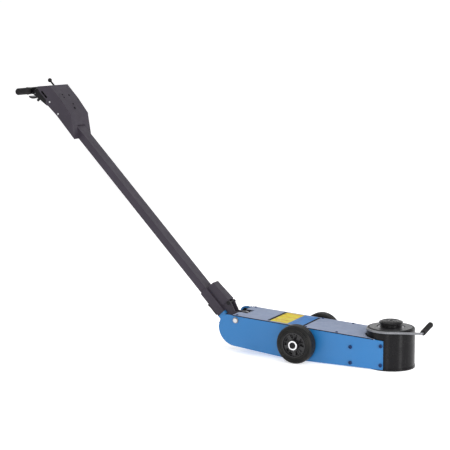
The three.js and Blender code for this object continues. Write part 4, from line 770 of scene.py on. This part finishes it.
def add_labels():
    add_cover_strip("label_yellow_film", -408, -344, FILM_THICKNESS, "label_yellow")
    add_cover_strip("label_blue_film", -342, -291, FILM_THICKNESS, "label_blue")
    add_cover_strip("label_border_rear", -418.4, -408.4, BORDER_THICKNESS, finish="dark_gap")
    add_cover_strip("label_border_front", -290.6, -282.6, BORDER_THICKNESS, finish="dark_gap")


def add_cover_seam_shade(label, side):
    """A dark strip of painted shade along the seam between the top cover and a side plate."""
    painted_seam_shade = skin([
        bar_section(x, side * SEAM_SHADE_INNER_Y, side * SEAM_SHADE_OUTER_Y,
                    plate_top(x) - 0.7 * MM, cover_top(x) - 0.3 * MM)
        for x in SEAM_SHADE_ENDS
    ])
    add_piece(f"cover_seam_shade_{label}", painted_seam_shade, "chassis", finish="dark_gap")


# ------------------------------------------------------------------- handle
T_GRIP_MOUTH = [(9.3, 0), (13.4, 0), (13.8, 0.8), (13.8, 3.4), (13.4, 4.2), (12.3, 5.6)]
T_GRIP_RADIUS = 12.3
T_GRIP_RIBS = 12
BALL_RADIUS = 7.6
BALL_NECK = [(3.4, 7.0), (3.2, 8.4), (2.8, 8.8), (0, 8.8)]
BEAD_POINTS = 22


def add_t_grip(label, side):
    low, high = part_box(f"t_grip_{label}")
    start = box_middle(f"t_grip_{label}")
    start.y = low.y if side > 0 else high.y
    length = (high.y - low.y) / MM
    sleeve = ribbed_sleeve(T_GRIP_MOUTH, T_GRIP_RADIUS, length, T_GRIP_RIBS, 10, length - 9)
    add_piece(f"t_grip_{label}_ribbed", sleeve, "handle", "black_rubber", replaces=[f"t_grip_{label}"],
              place=axis_place(start, (0, side, 0)), bevel=0.25 * MM)


def add_lever_ball():
    angles = [math.pi * i / 24 for i in range(2, 23)]
    ball = [(0, -BALL_RADIUS)]
    ball += [(BALL_RADIUS * math.sin(a), -BALL_RADIUS * math.cos(a)) for a in angles]
    add_piece("lever_ball", lathe(in_mm(ball + BALL_NECK), 48), "control_lever", "black_rubber",
              replaces=["lever_knob"], place=axis_place(box_middle("lever_knob"), -UP))


def add_weld(name, start, end, radius):
    """A weld bead: a round bar with the ripples of its passes, thinner at its ends."""
    def ripple(i):
        fade = min(1.0, 0.45 + min(i, BEAD_POINTS - 1 - i) * 0.2)
        return radius * fade * (1 + 0.14 * math.sin(i * 1.9) + 0.06 * math.sin(i * 0.7 + 1))
    path = [start.lerp(end, i / (BEAD_POINTS - 1)) for i in range(BEAD_POINTS)]
    add_piece(name, tube(path, ripple, 10), "handle", "handle_paint")


def add_handle_welds(label, side):
    y = side * 25.9
    add_weld(f"socket_weld_{label}", on_handle(164.2, y, -66), on_handle(164.2, y, -47), 1.5 * MM)
    y = side * 17.6
    add_weld(f"cheek_weld_{label}", on_handle(62, y, -38.9), on_handle(79, y, -38.9), 1.6 * MM)


# -------------------------------------------------------- floor and lighting
FLOOR_MIDDLE_X = -0.6
FLOOR_NEAR = -70.0
FLOOR_FLAT_END = 6.0
FLOOR_HALF = 70
COVE_START = 9.0
COVE_RADIUS = 3.0
COVE_STEPS = 12
WALL_TOP = 9.0
WHOLE_JACK = (-0.5, 0, 0.2)
CYLINDER = (0.0, 0, 0.1)


def studio_floor_material():
    m = Maker("studio_floor")
    m.paint(m.mix(m.spread(m.noise(0.8, 2.0), 0.0, 1.0), (0.86, 0.86, 0.87, 1), (0.9, 0.9, 0.905, 1)))
    m.fix({"Roughness": 0.9, "Specular IOR Level": 0.1,
           "Emission Color": (1, 1, 1, 1), "Emission Strength": 0.5})
    return m.material


def add_floor():
    """A pale floor that curves up into a wall behind the object."""
    profile = [(FLOOR_NEAR, 0.0), (FLOOR_FLAT_END, 0.0)]
    for i in range(COVE_STEPS + 1):
        a = math.pi / 2 * i / COVE_STEPS
        profile.append((COVE_START + COVE_RADIUS * math.sin(a), COVE_RADIUS * (1 - math.cos(a))))
    profile.append((COVE_START + COVE_RADIUS, WALL_TOP))
    away = Vector((-math.sin(VIEW_AZIMUTH), math.cos(VIEW_AZIMUTH), 0))
    across = Vector((away.y, -away.x, 0))
    bm = bmesh.new()
    rows = [
        [bm.verts.new(away * d + across * w + Vector((FLOOR_MIDDLE_X, 0, z)))
         for w in (-FLOOR_HALF, FLOOR_HALF)]
        for d, z in profile
    ]
    for a, b in zip(rows, rows[1:]):
        bm.faces.new((a[0], a[1], b[1], b[0])).smooth = True
    mesh = bpy.data.meshes.new("floor")
    bm.to_mesh(mesh)
    bm.free()
    mesh.materials.append(studio_floor_material())
    floor = bpy.data.objects.new("floor", mesh)
    scene.collection.objects.link(floor)


def add_world():
    world = bpy.data.worlds.new("studio")
    world.use_nodes = True
    background = world.node_tree.nodes["Background"]
    background.inputs["Color"].default_value = (1, 1, 1, 1)
    background.inputs["Strength"].default_value = 0.42
    scene.world = world
    scene.view_settings.view_transform = "Standard"


def add_softbox(name, place, target, size, power):
    data = bpy.data.lights.new(name, "AREA")
    data.shape = "RECTANGLE"
    data.size, data.size_y = size
    data.energy = power
    lamp = bpy.data.objects.new(name, data)
    lamp.location = place
    lamp.rotation_euler = (Vector(place) - Vector(target)).to_track_quat("Z", "Y").to_euler()
    scene.collection.objects.link(lamp)


def add_lights():
    add_softbox("strip_left", (0.27, -2.6, 1.0), CYLINDER, (0.16, 1.8), 18)
    add_softbox("strip_right", (2.4, -0.97, 1.0), CYLINDER, (0.26, 1.8), 50)
    add_softbox("key", (1.8, -2.6, 2.6), WHOLE_JACK, (0.9, 2.2), 18)
    add_softbox("fill", (-2.6, -2.2, 1.8), WHOLE_JACK, (2.0, 2.0), 16)
    add_softbox("top", (-0.4, 0.6, 3.2), WHOLE_JACK, (3.0, 2.0), 28)


# ---------------------------------------------------------------- the scene
finish_cad_pieces()
add_saddle()
add_front_grip()
for label, side in SIDES:
    add_wheel(label, side)
for label, side in SIDES:
    add_plate_bolts(label, side)
    add_head_screws(label, side)
    add_cover_screws(label, side)
    add_plate_screws(label, side)
    add_painted_shade_sheet(label, side)
    add_slot_shade_sheet(label, side)
add_head_fixings()
add_labels()
for label, side in SIDES:
    add_cover_seam_shade(label, side)
for label, side in SIDES:
    add_t_grip(label, side)
add_lever_ball()
for label, side in SIDES:
    add_handle_welds(label, side)
add_floor()
add_world()
add_lights()
